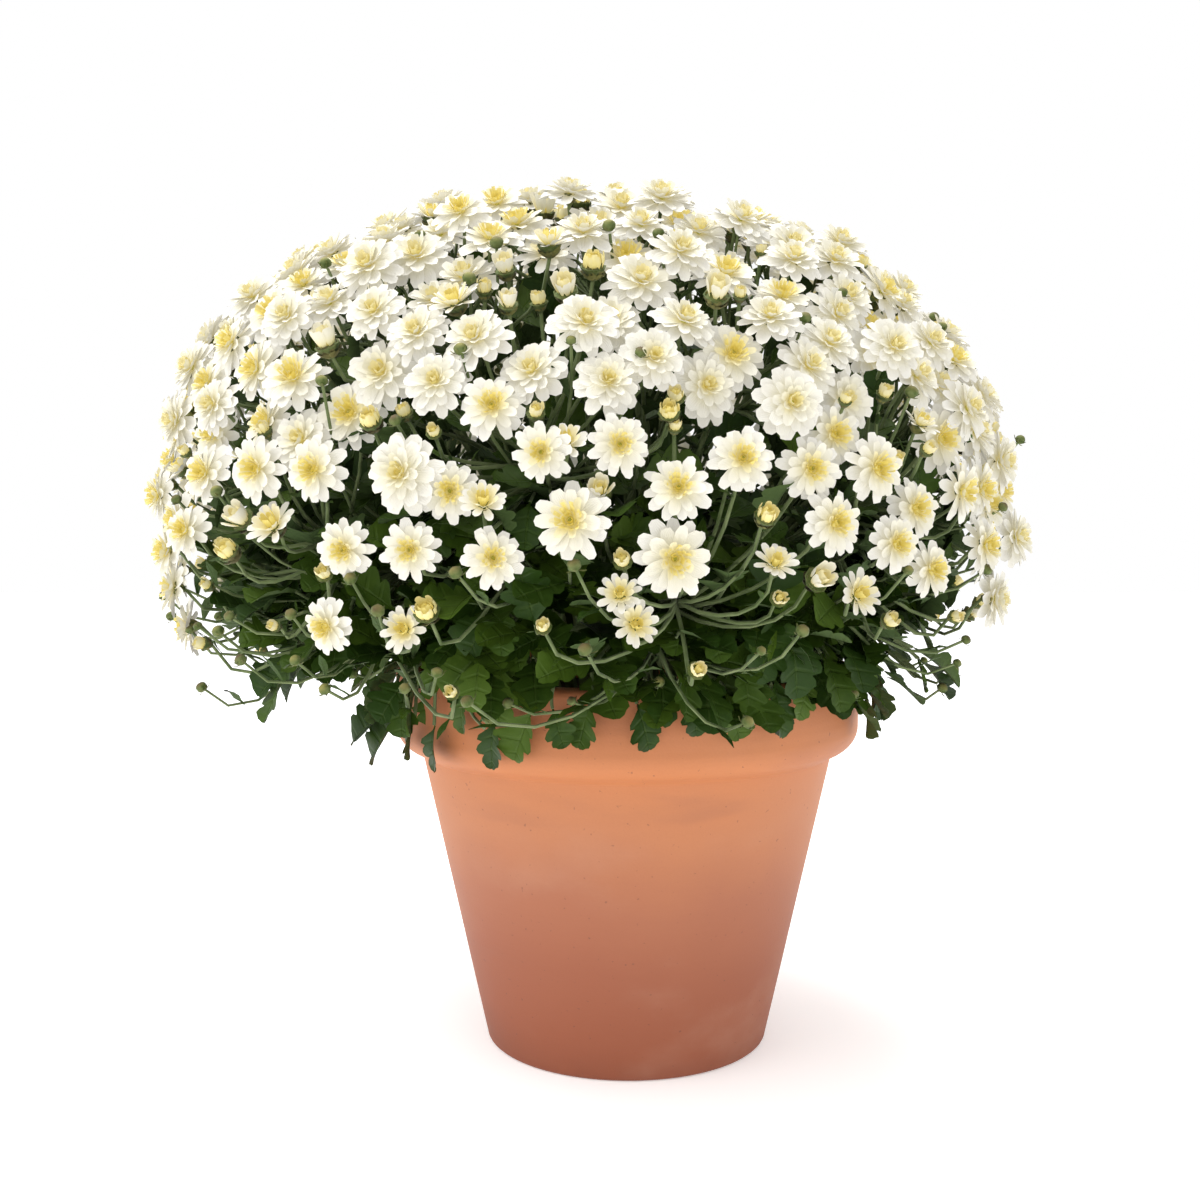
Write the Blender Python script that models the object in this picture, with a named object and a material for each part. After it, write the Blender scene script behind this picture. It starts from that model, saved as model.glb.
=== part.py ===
"""A white pot chrysanthemum in full bloom, in its terracotta pot.

Units are metres and +Z is up. The origin is at the middle of the pot's base, and the photograph's
viewer stands towards -Y. The plant is a dome of blooms over a skirt of leaves. Each leafy stem
stands in its own hole in the soil and carries one spray of blooms on its end.
"""

import math
import random

import bmesh
import bpy
from mathutils import Matrix, Vector
from mathutils.bvhtree import BVHTree

# The pot: outer radii and heights.
RIM_RADIUS = 0.127
RIM_TOP = 0.207
NECK_RADIUS = 0.1132
NECK_HEIGHT = 0.1618
BASE_RADIUS = 0.0772
BASE_ROUNDING = 0.003
RIM_LIP = 0.004
# Where the roll under the rim starts, in degrees below level.
RIM_TUCK = 72
ROLL_STEPS = 3
LIP_STEPS = 2
WALL = 0.009
FLOOR = 0.010
RIM_INNER_RADIUS = 0.1145
DRAIN_RADIUS = 0.006
DRAIN_RING = 0.045
DRAIN_COUNT = 3
DRAIN_SIDES = 8
POT_SIDES = 30
SAME_POINT = 1e-6
SHARP_ANGLE = math.radians(40)

# The soil, and the holes that the stems stand in.
SOIL_TOP = 0.186
HOLE_DEPTH = 0.020
GAP = 0.0003

# The dome that the blooms' faces lie on, and how they grow on it.
DOME_CENTRE = Vector((-0.0225, 0.0, 0.291))
DOME_RADIUS = 0.224
DOME_HEIGHT = 0.163
DOME_POWER = 2.2
GOLDEN_ANGLE = math.pi * (3 - math.sqrt(5))
SPIRAL_STEPS = 400
HEAD_COUNT = 478
HEADS_LOWEST = math.radians(-24)
CLOSEST_ABOVE = 0.100
DENSE_ABOVE = 0.012
SPARSE_BELOW = -0.055
TOP_SHARE = 1.45
BELT_SHARE = 0.34
HEAD_JITTER = 0.0045
TIERS = 4
TIER_DROP = 0.0055
OPEN_RADIUS = (0.0140, 0.0170)
YOUNG_RADIUS = (0.0052, 0.0072)
YOUNG_SHARE = 0.12
PATCH_YOUNG_SHARE = 0.60
HEAD_LEAN = 0.28
HEAD_LIFT = 0.12
CUP_LIFT = 0.8
# How far a head that would cross another may be moved, sunk, turned and shrunk.
HEAD_NUDGE = 0.007
HEAD_SINK = (-0.005, 0.010)
HEAD_TURN = 0.4
HEAD_SHRINK = 0.2

# Where many cups are still half open: azimuth in degrees, height, reach.
YOUNG_PATCHES = (
    (-104, 0.437, 0.030),
    (-97, 0.395, 0.036),
    (-95, 0.334, 0.032),
    (-78, 0.330, 0.030),
    (-134, 0.292, 0.040),
    (-48, 0.300, 0.034),
)

# The single blooms and cups of the belt, in front: azimuth in degrees, height, diameter.
BELT_FROM, BELT_TO, BELT_TOP = -150, -25, 0.318
BELT_BLOOMS = (
    (-116, 0.275, 0.026),
    (-108, 0.275, 0.026),
    (-99, 0.272, 0.026),
    (-91, 0.287, 0.033),
    (-80, 0.300, 0.028),
    (-80, 0.271, 0.034),
    (-120, 0.242, 0.026),
    (-94, 0.314, 0.025),
    (-86, 0.317, 0.026),
    (-109, 0.306, 0.034),
    (-104, 0.299, 0.026),
    (-62, 0.286, 0.029),
    (-53, 0.277, 0.027),
    (-46, 0.265, 0.027),
    (-32, 0.275, 0.029),
    (-56, 0.309, 0.030),
    (-64, 0.309, 0.028),
    (-73, 0.312, 0.028),
    (-120, 0.308, 0.029),
    (-129, 0.309, 0.030),
    (-140, 0.308, 0.030),
    (-48, 0.292, 0.028),
    (-40, 0.300, 0.030),
    (-30, 0.302, 0.030),
    (-146, 0.282, 0.028),
)
BELT_CUPS = (
    (-107, 0.253, 0.014),
    (-110, 0.243, 0.012),
    (-86, 0.259, 0.011),
    (-84, 0.246, 0.012),
    (-70, 0.292, 0.012),
    (-69, 0.272, 0.011),
    (-63, 0.264, 0.014),
    (-57, 0.257, 0.013),
    (-127, 0.288, 0.014),
    (-133, 0.290, 0.014),
    (-136, 0.276, 0.013),
    (-100, 0.297, 0.012),
    (-88, 0.301, 0.012),
)

# The facets of a head, sized by its radius: the points of its rim, how far out and how high the
# even and the odd ones are, the height of its middle, and its depth under the rim.
WIDE_FROM = 0.0164
WIDE_FORM = (6, (1.0, 0.90), (-0.14, 0.08), 0.26, 0.42)
OPEN_FORM = (5, (1.0, 0.94), (-0.12, 0.06), 0.26, 0.42)
CUP_FORM = (5, (1.0, 0.85), (0.60, 0.20), 0.05, 0.85)
BUD_FORM = (4, (1.0, 1.0), (0.0, 0.0), 0.95, 0.85)

# The sprays, and the hubs where their stalks meet.
SPRAY_COUNT = 24
SPRAYS_LOWEST = math.radians(-8)
PLANT_HEART = Vector((-0.012, 0.0, 0.215))
HUB_REACH = 0.58
HUB_LENGTH = 0.066
HUB_RADII = (0.0030, 0.0020)
HUB_SIDES = 4
STALK_RADIUS = 0.0010
# The stalk of a head on the axis leaves it near its tip, and one this far from it near its foot.
WIDEST_STALK = 0.080
TOP_STALK = 0.94
LOWEST_STALK = 0.08
# How deep a stalk's root lies in what it grows from, as a share of that one's radius.
ROOT_DEPTH = 0.6

# The main stems.
SOIL_SHARE = 0.45
STEM_RADII = (0.0032, 0.0026)
STEM_SIDES = 4
STEM_RINGS = 3
STEM_TURN = 0.42
COLLAR = 0.004

# The leaves: their outline, from the base, is how far along and how far across, as shares of the
# length, and the middle is where the blade is thickest.
LEAF_LENGTH = (0.024, 0.032)
LEAF_THICKNESS = 0.0014
LEAF_RISE = 0.0009
LEAF_FALL = 0.0036
LEAF_HALF = ((0.0, 0.045), (0.27, 0.35), (0.40, 0.19), (0.64, 0.39), (0.76, 0.18))
LEAF_MIDDLE = 0.46
PETIOLE_RADIUS = 0.0010
SKIRT_LEAVES = 34
SKIRT_REACH = (0.122, 0.184)
SKIRT_HEIGHT = (0.210, 0.250)
SKIRT_DIP = (0, 70)
SKIRT_NUDGE = 0.010
SKIRT_STEP = 5
SKIRT_ROOTS = (0.6, 0.96)
LOW_SPRAY = 0.55
LEAF_TURN = 0.5
# The leaves that hang over the rim in front: azimuth in degrees, height and distance from the
# pot's axis, of the base and then of the tip.
RIM_LEAVES = (
    (-136, 0.186, 0.134, -137, 0.163, 0.137),
    (-143, 0.186, 0.135, -147, 0.167, 0.138),
    (-153, 0.188, 0.138, -161, 0.176, 0.157),
    (-149, 0.186, 0.136, -158, 0.166, 0.150),
    (-119, 0.192, 0.134, -120, 0.169, 0.138),
    (-110, 0.198, 0.134, -115, 0.175, 0.139),
    (-106, 0.199, 0.134, -103, 0.183, 0.141),
    (-98, 0.203, 0.135, -101, 0.182, 0.139),
    (-127, 0.205, 0.134, -128, 0.184, 0.137),
    (-89, 0.202, 0.134, -86, 0.181, 0.137),
    (-77, 0.208, 0.134, -77, 0.187, 0.138),
    (-71, 0.207, 0.134, -67, 0.185, 0.138),
    (-60, 0.207, 0.134, -57, 0.186, 0.139),
    (-51, 0.212, 0.136, -54, 0.192, 0.140),
    (-43, 0.213, 0.136, -46, 0.194, 0.142),
    (-27, 0.199, 0.135, -23, 0.175, 0.140),
    (-20, 0.215, 0.159, -22, 0.199, 0.166),
    (-21, 0.221, 0.157, -17, 0.206, 0.184),
)
# Where the petiole of a leaf that hangs lower than the rim bends over it.
ELBOW_REACH = 0.131
ELBOW_RISE = 0.003
# The upright leaves inside, on the steepest stems.
INNER_LEAVES = 8
INNER_ROOTS = (0.5, 0.92)
INNER_PETIOLE = 0.013
INNER_LIFT = 0.5

# The dense foliage round each stem, under its leaves: where on the stem, and its sizes to try.
CORE_SHARE = 0.72
CORE_RADII = (0.026, 0.024, 0.022, 0.020, 0.018, 0.016, 0.014, 0.012)
CORE_STRETCH = 1.5
# The step along a stem that its direction is taken over.
STEM_STEP = 0.01

# The round green buds.
BUD_RADIUS = 0.0030
BELT_BUDS = 14
DOME_BUDS = 8
BUD_STALK_RADIUS = 0.0009
BUD_ROOTS = (0.55, 0.92)
BUD_NUDGE = 0.016
BUD_LIFT = 0.3
BUD_SPOTS = 1200
BUDS_LOWEST = math.radians(-34)
BELT_BUDS_BELOW = -0.012
# Buds that stand out past the leaves: azimuth in degrees, height, how far from the dome's axis.
STRAY_BUDS = (
    (176, 0.232, 0.236),
    (186, 0.246, 0.228),
    (178, 0.264, 0.238),
    (170, 0.332, 0.238),
    (188, 0.197, 0.208),
    (4, 0.268, 0.232),
    (-3, 0.330, 0.236),
    (-150, 0.236, 0.214),
    (-145, 0.210, 0.141),
    (-104, 0.203, 0.143),
    (-108, 0.195, 0.141),
    (-112, 0.220, 0.140),
    (-89, 0.225, 0.149),
    (-92, 0.205, 0.147),
    (-77, 0.214, 0.153),
    (-73, 0.216, 0.155),
    (-49, 0.219, 0.164),
    (-36, 0.216, 0.167),
    (-39, 0.203, 0.167),
)

# How a shape is kept clear of the others: its margin, the length of stalk that may cross the stalks
# beside it, and how straight back from its blade or face the stalk must leave.
CLEARANCE = 0.0004
ROOT_FREE = 0.010
ROOT_REACH = 0.003
STALK_BACK = 0.4
HEAD_BACK = Vector((0, 0, -1))
LEAF_BACK = Vector((-1, 0, 0))
TRIES = 100
SEED = 7


def smooth_share(value, low, high):
    """0 at low, 1 at high, straight between."""
    return min(1.0, max(0.0, (value - low) / (high - low)))


def dome_ring(climb):
    """The dome's radius and height over its centre, at this climb from its widest ring."""
    across, up = math.cos(climb), math.sin(climb)
    bend = 2 / DOME_POWER
    return DOME_RADIUS * across**bend, math.copysign(DOME_HEIGHT * abs(up) ** bend, up)


def dome_normal(point):
    across = math.hypot(point.x, point.y)
    slope_out = (across / DOME_RADIUS) ** (DOME_POWER - 1) / DOME_RADIUS
    slope_up = (abs(point.z) / DOME_HEIGHT) ** (DOME_POWER - 1) / DOME_HEIGHT
    out = point.xy * slope_out / across
    return Vector((out.x, out.y, math.copysign(slope_up, point.z))).normalized()


def dome_radius_at(height):
    """How far the dome's surface is from its axis, at this height over its centre."""
    share = min(1.0, abs(height) / DOME_HEIGHT)
    return DOME_RADIUS * (1 - share**DOME_POWER) ** (1 / DOME_POWER)


def on_dome(azimuth, height, reach=None):
    """The point at this azimuth in degrees and height above the ground."""
    turn = math.radians(azimuth)
    over = height - DOME_CENTRE.z
    across = dome_radius_at(over) if reach is None else reach
    return Vector((across * math.cos(turn), across * math.sin(turn), over))


def spiral(count, lowest, crowding):
    """Points down the dome, each a golden angle on from the last, so many to each area of it."""
    fall = (math.pi / 2 - lowest) / SPIRAL_STEPS
    rings = [dome_ring(math.pi / 2 - fall * i) for i in range(SPIRAL_STEPS + 1)]
    sums = [0.0]
    for (near, top), (far, bottom) in zip(rings, rings[1:]):
        band = (near + far) / 2 * math.hypot(far - near, top - bottom)
        sums.append(sums[-1] + band * crowding((top + bottom) / 2))
    points, at = [], 0
    for i in range(count):
        wanted = sums[-1] * (i + 0.5) / count
        while sums[at + 1] < wanted:
            at += 1
        share = (wanted - sums[at]) / (sums[at + 1] - sums[at])
        across = rings[at][0] + (rings[at + 1][0] - rings[at][0]) * share
        height = rings[at][1] + (rings[at + 1][1] - rings[at][1]) * share
        turn = i * GOLDEN_ANGLE
        points.append(Vector((across * math.cos(turn), across * math.sin(turn), height)))
    return points


def head_crowding(height):
    """How close the heads grow: closest on the dome's top, thinly in the belt under it."""
    low = BELT_SHARE + (1 - BELT_SHARE) * smooth_share(height, SPARSE_BELOW, DENSE_ABOVE)
    return low + (TOP_SHARE - 1) * smooth_share(height, DENSE_ABOVE, CLOSEST_ABOVE)


def in_front_belt(point):
    azimuth = math.degrees(math.atan2(point.y, point.x))
    return BELT_FROM < azimuth < BELT_TO and point.z + DOME_CENTRE.z < BELT_TOP


def grow_heads(rng):
    """Every open bloom and half-open cup: kind, point on the dome, radius, how far it sinks, lean."""
    patches = [(on_dome(azimuth, height), reach) for azimuth, height, reach in YOUNG_PATCHES]
    heads = []
    for azimuth, height, across in BELT_BLOOMS:
        heads.append(["open", on_dome(azimuth, height), across / 2])
    for azimuth, height, across in BELT_CUPS:
        heads.append(["young", on_dome(azimuth, height), across / 2])
    for point in spiral(HEAD_COUNT, HEADS_LOWEST, head_crowding):
        near_patch = any((point - middle).length < reach for middle, reach in patches)
        young = rng.random() < (PATCH_YOUNG_SHARE if near_patch else YOUNG_SHARE)
        shift = Vector([rng.uniform(-HEAD_JITTER, HEAD_JITTER) for _ in range(3)])
        radius = rng.uniform(*(YOUNG_RADIUS if young else OPEN_RADIUS))
        if not in_front_belt(point):
            heads.append(["young" if young else "open", point + shift, radius])
    for i, head in enumerate(heads):
        head += [tier_of(head, heads[:i]) * TIER_DROP, any_way(rng, HEAD_LEAN)]
    return heads


def tier_of(head, earlier):
    """The layer, of a few, in which the nearest earlier head is furthest away."""
    nearest = [1.0] * TIERS
    for _, point, radius, drop, _ in earlier:
        tier = round(drop / TIER_DROP)
        nearest[tier] = min(nearest[tier], (point - head[1]).length - radius - head[2])
    room = [min(gap, 0.0) for gap in nearest]
    return room.index(max(room))


def frame_towards(origin, axis, spin=0.0):
    """A place at origin whose +Z looks along axis."""
    turn = axis.to_track_quat("Z", "Y").to_matrix().to_4x4()
    return Matrix.Translation(origin) @ turn @ Matrix.Rotation(spin, 4, "Z")


def side_of(ray, axis):
    """The direction of ray, square to axis."""
    return (ray - axis * ray.dot(axis)).normalized()


def bend_point(start, bend, end, share):
    """A point of the curve that leaves start towards bend and comes to end from it."""
    return start.lerp(bend, share).lerp(bend.lerp(end, share), share)


def open_bloom(bm, radius, path):
    """A star of petals in two heights over a cone of calyx, which runs on as the stalk."""
    flower_head(bm, WIDE_FORM if radius > WIDE_FROM else OPEN_FORM, radius, path, STALK_RADIUS)


def half_open_cup(bm, radius, path):
    """A cup of upright petals round a sunk middle, on its stalk."""
    flower_head(bm, CUP_FORM, radius, path, STALK_RADIUS)


def round_bud(bm, radius, path):
    flower_head(bm, BUD_FORM, radius, path, BUD_STALK_RADIUS)


def flower_head(bm, form, radius, path, stalk):
    """A fan of facets whose rim goes in and out, closed below round a three-sided stalk."""
    count, reach, lift, crown, depth = form
    made = bmesh.ops.create_circle(bm, cap_ends=True, cap_tris=True, segments=count, radius=radius)
    rim = [v for v in made["verts"] if v.co.length > radius / 2]
    for v in made["verts"]:
        v.co.z = crown * radius
    for i, v in enumerate(rim):
        v.co.xy *= reach[i % 2]
        v.co.z = lift[i % 2] * radius
    under = Matrix.Translation((0, 0, -depth * radius))
    neck = bmesh.ops.create_circle(bm, segments=3, radius=stalk, matrix=under)["verts"]
    edges = [e for e in bm.edges if e.is_boundary or e.is_wire]
    bmesh.ops.bridge_loops(bm, edges=edges)
    grow_stalk(bm, neck, path, stalk)


def grow_stalk(bm, ring, path, radius):
    """Draws the open ring out into a tube along the points of path, closed at the last."""
    middle = sum((v.co for v in ring), Vector()) / len(ring)
    for point in path:
        edges = [e for e in bm.edges if e.is_boundary]
        grown = bmesh.ops.extrude_edge_only(bm, edges=edges)["geom"]
        ahead = (point - middle).normalized()
        for v in grown:
            if isinstance(v, bmesh.types.BMVert):
                v.co = point + side_of(v.co - middle, ahead) * radius
        middle = point
    bmesh.ops.contextual_create(bm, geom=[e for e in bm.edges if e.is_boundary])


def leaf(bm, length, path):
    """A lobed blade along +X, thickest on its midrib, on a three-sided petiole."""
    half = [Vector((along * length, across * length, 0)) for along, across in LEAF_HALF]
    other = [Vector((p.x, -p.y, 0)) for p in reversed(half)]
    outline = half + [Vector((length, 0, 0))] + other
    for p in outline:
        p.z = -LEAF_FALL * (p.x / length) ** 2
    rim = [bm.verts.new(p) for p in outline]
    middle = Vector((LEAF_MIDDLE * length, 0, LEAF_RISE))
    over = bm.verts.new(middle + Vector((0, 0, LEAF_THICKNESS / 2)))
    under = bm.verts.new(middle - Vector((0, 0, LEAF_THICKNESS / 2)))
    keel = bm.verts.new((-PETIOLE_RADIUS, 0, -2 * PETIOLE_RADIUS))
    for a, b in zip(rim, rim[1:]):
        bm.faces.new((over, b, a))
        bm.faces.new((under, a, b))
    bm.faces.new((over, rim[0], rim[-1]))
    bm.faces.new((under, keel, rim[0]))
    bm.faces.new((under, rim[-1], keel))
    grow_stalk(bm, [rim[0], rim[-1], keel], path, PETIOLE_RADIUS)


def closed_bmesh(build, place, size, path):
    """The shape that build makes, moved to place, with its stalk drawn along path."""
    bm = bmesh.new()
    build(bm, size, [place.inverted() @ point for point in path])
    bmesh.ops.triangulate(bm, faces=bm.faces)
    bmesh.ops.transform(bm, matrix=place, verts=bm.verts)
    bmesh.ops.recalc_face_normals(bm, faces=bm.faces)
    return bm


class Clearances:
    """What has been placed so far, and whether a new shape would cross any of it."""

    def __init__(self):
        self.placed = []

    def add(self, bm, node, root=None):
        low, high = box_of(bm)
        self.placed.append((low, high, BVHTree.FromBMesh(bm), node, end_tree(bm, root)))

    def crosses(self, bm, node, root=None):
        """True if bm, grown by the clearance, meets another node, or its end meets one of its own."""
        grown = bm.copy()
        grown.normal_update()
        for v in grown.verts:
            v.co += v.normal * CLEARANCE
        tree, end = BVHTree.FromBMesh(grown), end_tree(grown, root)
        low, high = box_of(grown)
        grown.free()
        for other_low, other_high, other, other_node, other_end in self.placed:
            if any(low[i] > other_high[i] or high[i] < other_low[i] for i in range(3)):
                continue
            if other_node != node and tree.overlap(other):
                return True
            if other_node == node and end and other_end and end.overlap(other_end):
                return True
        return False


def end_tree(bm, root):
    """The shape of a bloom, leaf or bud, with its stalk cut short of what it grows from."""
    if root is None:
        return None
    points = [v.co.copy() for v in bm.verts]
    far = [p for p in points if (p - root).length > ROOT_FREE]
    away = (sum(far, Vector()) / len(far) - root).normalized()
    points = [p if (p - root).length > ROOT_REACH else p + away * ROOT_FREE for p in points]
    bm.verts.index_update()
    return BVHTree.FromPolygons(points, [[v.index for v in f.verts] for f in bm.faces])


def box_of(bm):
    points = [v.co for v in bm.verts]
    low = [min(p[i] for p in points) for i in range(3)]
    high = [max(p[i] for p in points) for i in range(3)]
    return low, high


def material(name, colour, roughness):
    made = bpy.data.materials.new(name)
    made.use_nodes = True
    shader = made.node_tree.nodes["Principled BSDF"]
    shader.inputs["Base Color"].default_value = (*colour, 1)
    shader.inputs["Roughness"].default_value = roughness
    shader.inputs["Metallic"].default_value = 0
    return made


def new_object(name, bm, finish):
    mesh = bpy.data.meshes.new(name)
    bm.to_mesh(mesh)
    bm.free()
    mesh.materials.append(finish)
    made = bpy.data.objects.new(name, mesh)
    bpy.context.scene.collection.objects.link(made)
    return made


def fuse(base, shapes, finish):
    """Joins the shapes to base with one Boolean union, so that the node is one body."""
    group = bpy.data.collections.new(base.name + "_parts")
    bpy.context.scene.collection.children.link(group)
    for i, bm in enumerate(shapes):
        part = new_object(f"{base.name}_part_{i}", bm, finish)
        bpy.context.scene.collection.objects.unlink(part)
        group.objects.link(part)
    union = base.modifiers.new("union", "BOOLEAN")
    union.operation = "UNION"
    union.operand_type = "COLLECTION"
    union.collection = group
    graph = bpy.context.evaluated_depsgraph_get()
    joined = bpy.data.meshes.new_from_object(base.evaluated_get(graph))
    base.modifiers.clear()
    base.data = joined
    for part in list(group.objects):
        bpy.data.objects.remove(part)
    bpy.data.collections.remove(group)


def spin_profile(profile, sides):
    """A round solid from its outline, in (radius, height) pairs from the axis round to the axis."""
    bm = bmesh.new()
    verts = [bm.verts.new((radius, 0, height)) for radius, height in profile]
    edges = [bm.edges.new(pair) for pair in zip(verts, verts[1:])]
    bmesh.ops.spin(
        bm,
        geom=verts + edges,
        axis=(0, 0, 1),
        cent=(0, 0, 0),
        angle=math.tau,
        steps=sides,
        use_merge=True,
    )
    bmesh.ops.remove_doubles(bm, verts=bm.verts, dist=SAME_POINT)
    bmesh.ops.recalc_face_normals(bm, faces=bm.faces)
    return bm


def wall_radius(height):
    """The outer radius of the pot's tapered wall."""
    return BASE_RADIUS + (NECK_RADIUS - BASE_RADIUS) * height / NECK_HEIGHT


def arc(centre, size, start, end, steps):
    """Points of an arc in the profile's plane, angles in degrees."""
    turns = [math.radians(start + (end - start) * i / steps) for i in range(steps + 1)]
    return [(centre[0] + size * math.cos(t), centre[1] + size * math.sin(t)) for t in turns]


def make_pot(finish):
    roll = RIM_RADIUS - NECK_RADIUS
    outer = [(0, 0), (BASE_RADIUS - BASE_ROUNDING, 0), (wall_radius(BASE_ROUNDING), BASE_ROUNDING)]
    outer += [(NECK_RADIUS, NECK_HEIGHT)]
    outer += arc((NECK_RADIUS, NECK_HEIGHT + roll), roll, -RIM_TUCK, 0, ROLL_STEPS)
    outer += arc((RIM_RADIUS - RIM_LIP, RIM_TOP - RIM_LIP), RIM_LIP, 0, 90, LIP_STEPS)
    inner = [(RIM_INNER_RADIUS + RIM_LIP / 2, RIM_TOP), (RIM_INNER_RADIUS, RIM_TOP - RIM_LIP / 2)]
    inner += [(RIM_INNER_RADIUS, NECK_HEIGHT + roll), (NECK_RADIUS - WALL, NECK_HEIGHT)]
    inner += [(wall_radius(FLOOR) - WALL, FLOOR), (0, FLOOR)]
    pot = new_object("pot", spin_profile(outer + inner, POT_SIDES), finish)
    for i in range(DRAIN_COUNT):
        turn = math.tau * (i + 0.5) / DRAIN_COUNT
        place = Matrix.Translation((DRAIN_RING * math.cos(turn), DRAIN_RING * math.sin(turn), 0))
        drill(pot, f"drain_{i}", place, DRAIN_RADIUS, 3 * FLOOR, DRAIN_SIDES)
    pot.data.shade_smooth()
    pot.data.set_sharp_from_angle(angle=SHARP_ANGLE)
    return pot


def drill(target, name, place, radius, depth, sides):
    """Cuts a plain hole, centred on place and along its Z."""
    bm = bmesh.new()
    bmesh.ops.create_cone(
        bm,
        cap_ends=True,
        segments=sides,
        radius1=radius,
        radius2=radius,
        depth=depth,
        matrix=place,
    )
    cutter = new_object(name, bm, target.data.materials[0])
    cutter.hide_render = True
    cutter.display_type = "WIRE"
    cut = target.modifiers.new(name, "BOOLEAN")
    cut.operation = "DIFFERENCE"
    cut.object = cutter


class Spray:
    """One leafy stem and the bunch of heads that it carries."""

    def __init__(self, number, point):
        self.leafy = f"leafy_stem_{number:02d}"
        self.flowers = f"flower_spray_{number:02d}"
        self.tip = DOME_CENTRE + point
        self.axis = (self.tip - PLANT_HEART).normalized()
        self.hub = PLANT_HEART.lerp(self.tip, HUB_REACH)
        self.foot = Vector((self.hub.x * SOIL_SHARE, self.hub.y * SOIL_SHARE, SOIL_TOP - HOLE_DEPTH))
        self.seat = self.hub - self.axis * GAP
        collar = self.foot + Vector((0, 0, HOLE_DEPTH + COLLAR))
        bend = self.seat - self.axis * STEM_TURN * (self.seat - self.foot).length
        shares = [i / STEM_RINGS for i in range(1, STEM_RINGS + 1)]
        self.points = [collar] + [bend_point(collar, bend, self.seat, share) for share in shares]
        self.green = []
        self.white = []

    def along(self, share):
        """A point of the stem, from where it leaves the soil at 0 to its end at 1."""
        at = min(int(share * STEM_RINGS), STEM_RINGS - 1)
        return self.points[at].lerp(self.points[at + 1], share * STEM_RINGS - at)

    def side_root(self, share, target):
        """A point just inside the stem's skin, on the side that faces target."""
        middle = self.along(share)
        along = (self.along(share + STEM_STEP) - middle).normalized()
        return middle + side_of(target - middle, along) * STEM_RADII[1] * (1 - ROOT_DEPTH)

    def stalk_root(self, target):
        """Where the stalk of the head at target leaves the spray's axis: the widest go lowest."""
        ray = target - self.hub
        across = (ray - self.axis * ray.dot(self.axis)).length
        share = TOP_STALK + (LOWEST_STALK - TOP_STALK) * min(1.0, across / WIDEST_STALK)
        side = side_of(ray, self.axis)
        return self.hub + self.axis * share * HUB_LENGTH + side * HUB_RADII[1] * (1 - ROOT_DEPTH)


def stem_bmesh(spray):
    """A tapering angular stem, upright where it stands in the soil and square to the hub above."""
    bm = bmesh.new()
    rings = []
    points = [spray.foot] + spray.points
    for i, point in enumerate(points):
        radius = STEM_RADII[0] + (STEM_RADII[1] - STEM_RADII[0]) * i / (len(points) - 1)
        if i < 2:
            axis = Vector((0, 0, 1))
        elif i == len(points) - 1:
            axis = spray.axis
        else:
            axis = (points[i + 1] - points[i - 1]).normalized()
        place = stem_frame(point, axis)
        made = bmesh.ops.create_circle(bm, segments=STEM_SIDES, radius=radius, matrix=place)
        rings.append(made["verts"])
    for low, high in zip(rings, rings[1:]):
        for i in range(STEM_SIDES):
            j = (i + 1) % STEM_SIDES
            bm.faces.new((low[i], low[j], high[j], high[i]))
    for ring in (rings[0], rings[-1]):
        bmesh.ops.contextual_create(bm, geom=ring)
    bmesh.ops.triangulate(bm, faces=bm.faces)
    bmesh.ops.recalc_face_normals(bm, faces=bm.faces)
    return bm


def stem_frame(point, axis):
    """A place on the stem whose turn about its own axis changes little from ring to ring."""
    return Matrix.Translation(point) @ Vector((0, 0, 1)).rotation_difference(axis).to_matrix().to_4x4()


def hub_bmesh(spray):
    bm = bmesh.new()
    middle = spray.hub + spray.axis * HUB_LENGTH / 2
    bmesh.ops.create_cone(
        bm,
        cap_ends=True,
        segments=HUB_SIDES,
        radius1=HUB_RADII[0],
        radius2=HUB_RADII[1],
        depth=HUB_LENGTH,
        matrix=stem_frame(middle, spray.axis),
    )
    bmesh.ops.triangulate(bm, faces=bm.faces)
    return bm


def settle(shapes, taken, node, propose):
    """Keeps the first clear one of the proposed shapes, which start at the place wished for."""
    for attempt in range(TRIES):
        build, place, size, path, behind = propose(attempt / TRIES)
        if (place.inverted() @ path[0]).normalized().dot(behind) < STALK_BACK:
            continue
        bm = closed_bmesh(build, place, size, path)
        if not taken.crosses(bm, node, path[-1]):
            taken.add(bm, node, path[-1])
            shapes.append(bm)
            return
        bm.free()


def any_way(rng, reach):
    """A random step of up to reach along each axis."""
    return Vector([rng.uniform(-reach, reach) for _ in range(3)])


def nearest_spray(sprays, point):
    """The spray whose cone, seen from the heart of the plant, holds point: cones never cross."""
    ray = (point - PLANT_HEART).normalized()
    return max(sprays, key=lambda spray: spray.axis.dot(ray))


def grow_flowers(sprays, heads, taken, rng):
    """Gives each head to the spray that it grows nearest to, and a clear place there."""
    for kind, point, radius, drop, lean in heads:
        outward = dome_normal(point)
        home = DOME_CENTRE + point - outward * drop
        spray = nearest_spray(sprays, home)
        root = spray.stalk_root(home)
        lift = HEAD_LIFT if kind == "open" else CUP_LIFT
        facing = (outward + lean + Vector((0, 0, lift))).normalized()
        build = open_bloom if kind == "open" else half_open_cup

        def propose(ease):
            spot = home + any_way(rng, HEAD_NUDGE * ease) - outward * rng.uniform(*HEAD_SINK) * ease
            axis = (facing + any_way(rng, HEAD_TURN * ease)).normalized()
            place = frame_towards(spot, axis, rng.uniform(0, math.tau))
            return build, place, radius * (1 - HEAD_SHRINK * ease * rng.random()), [root], HEAD_BACK

        settle(spray.white, taken, spray.flowers, propose)


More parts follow.
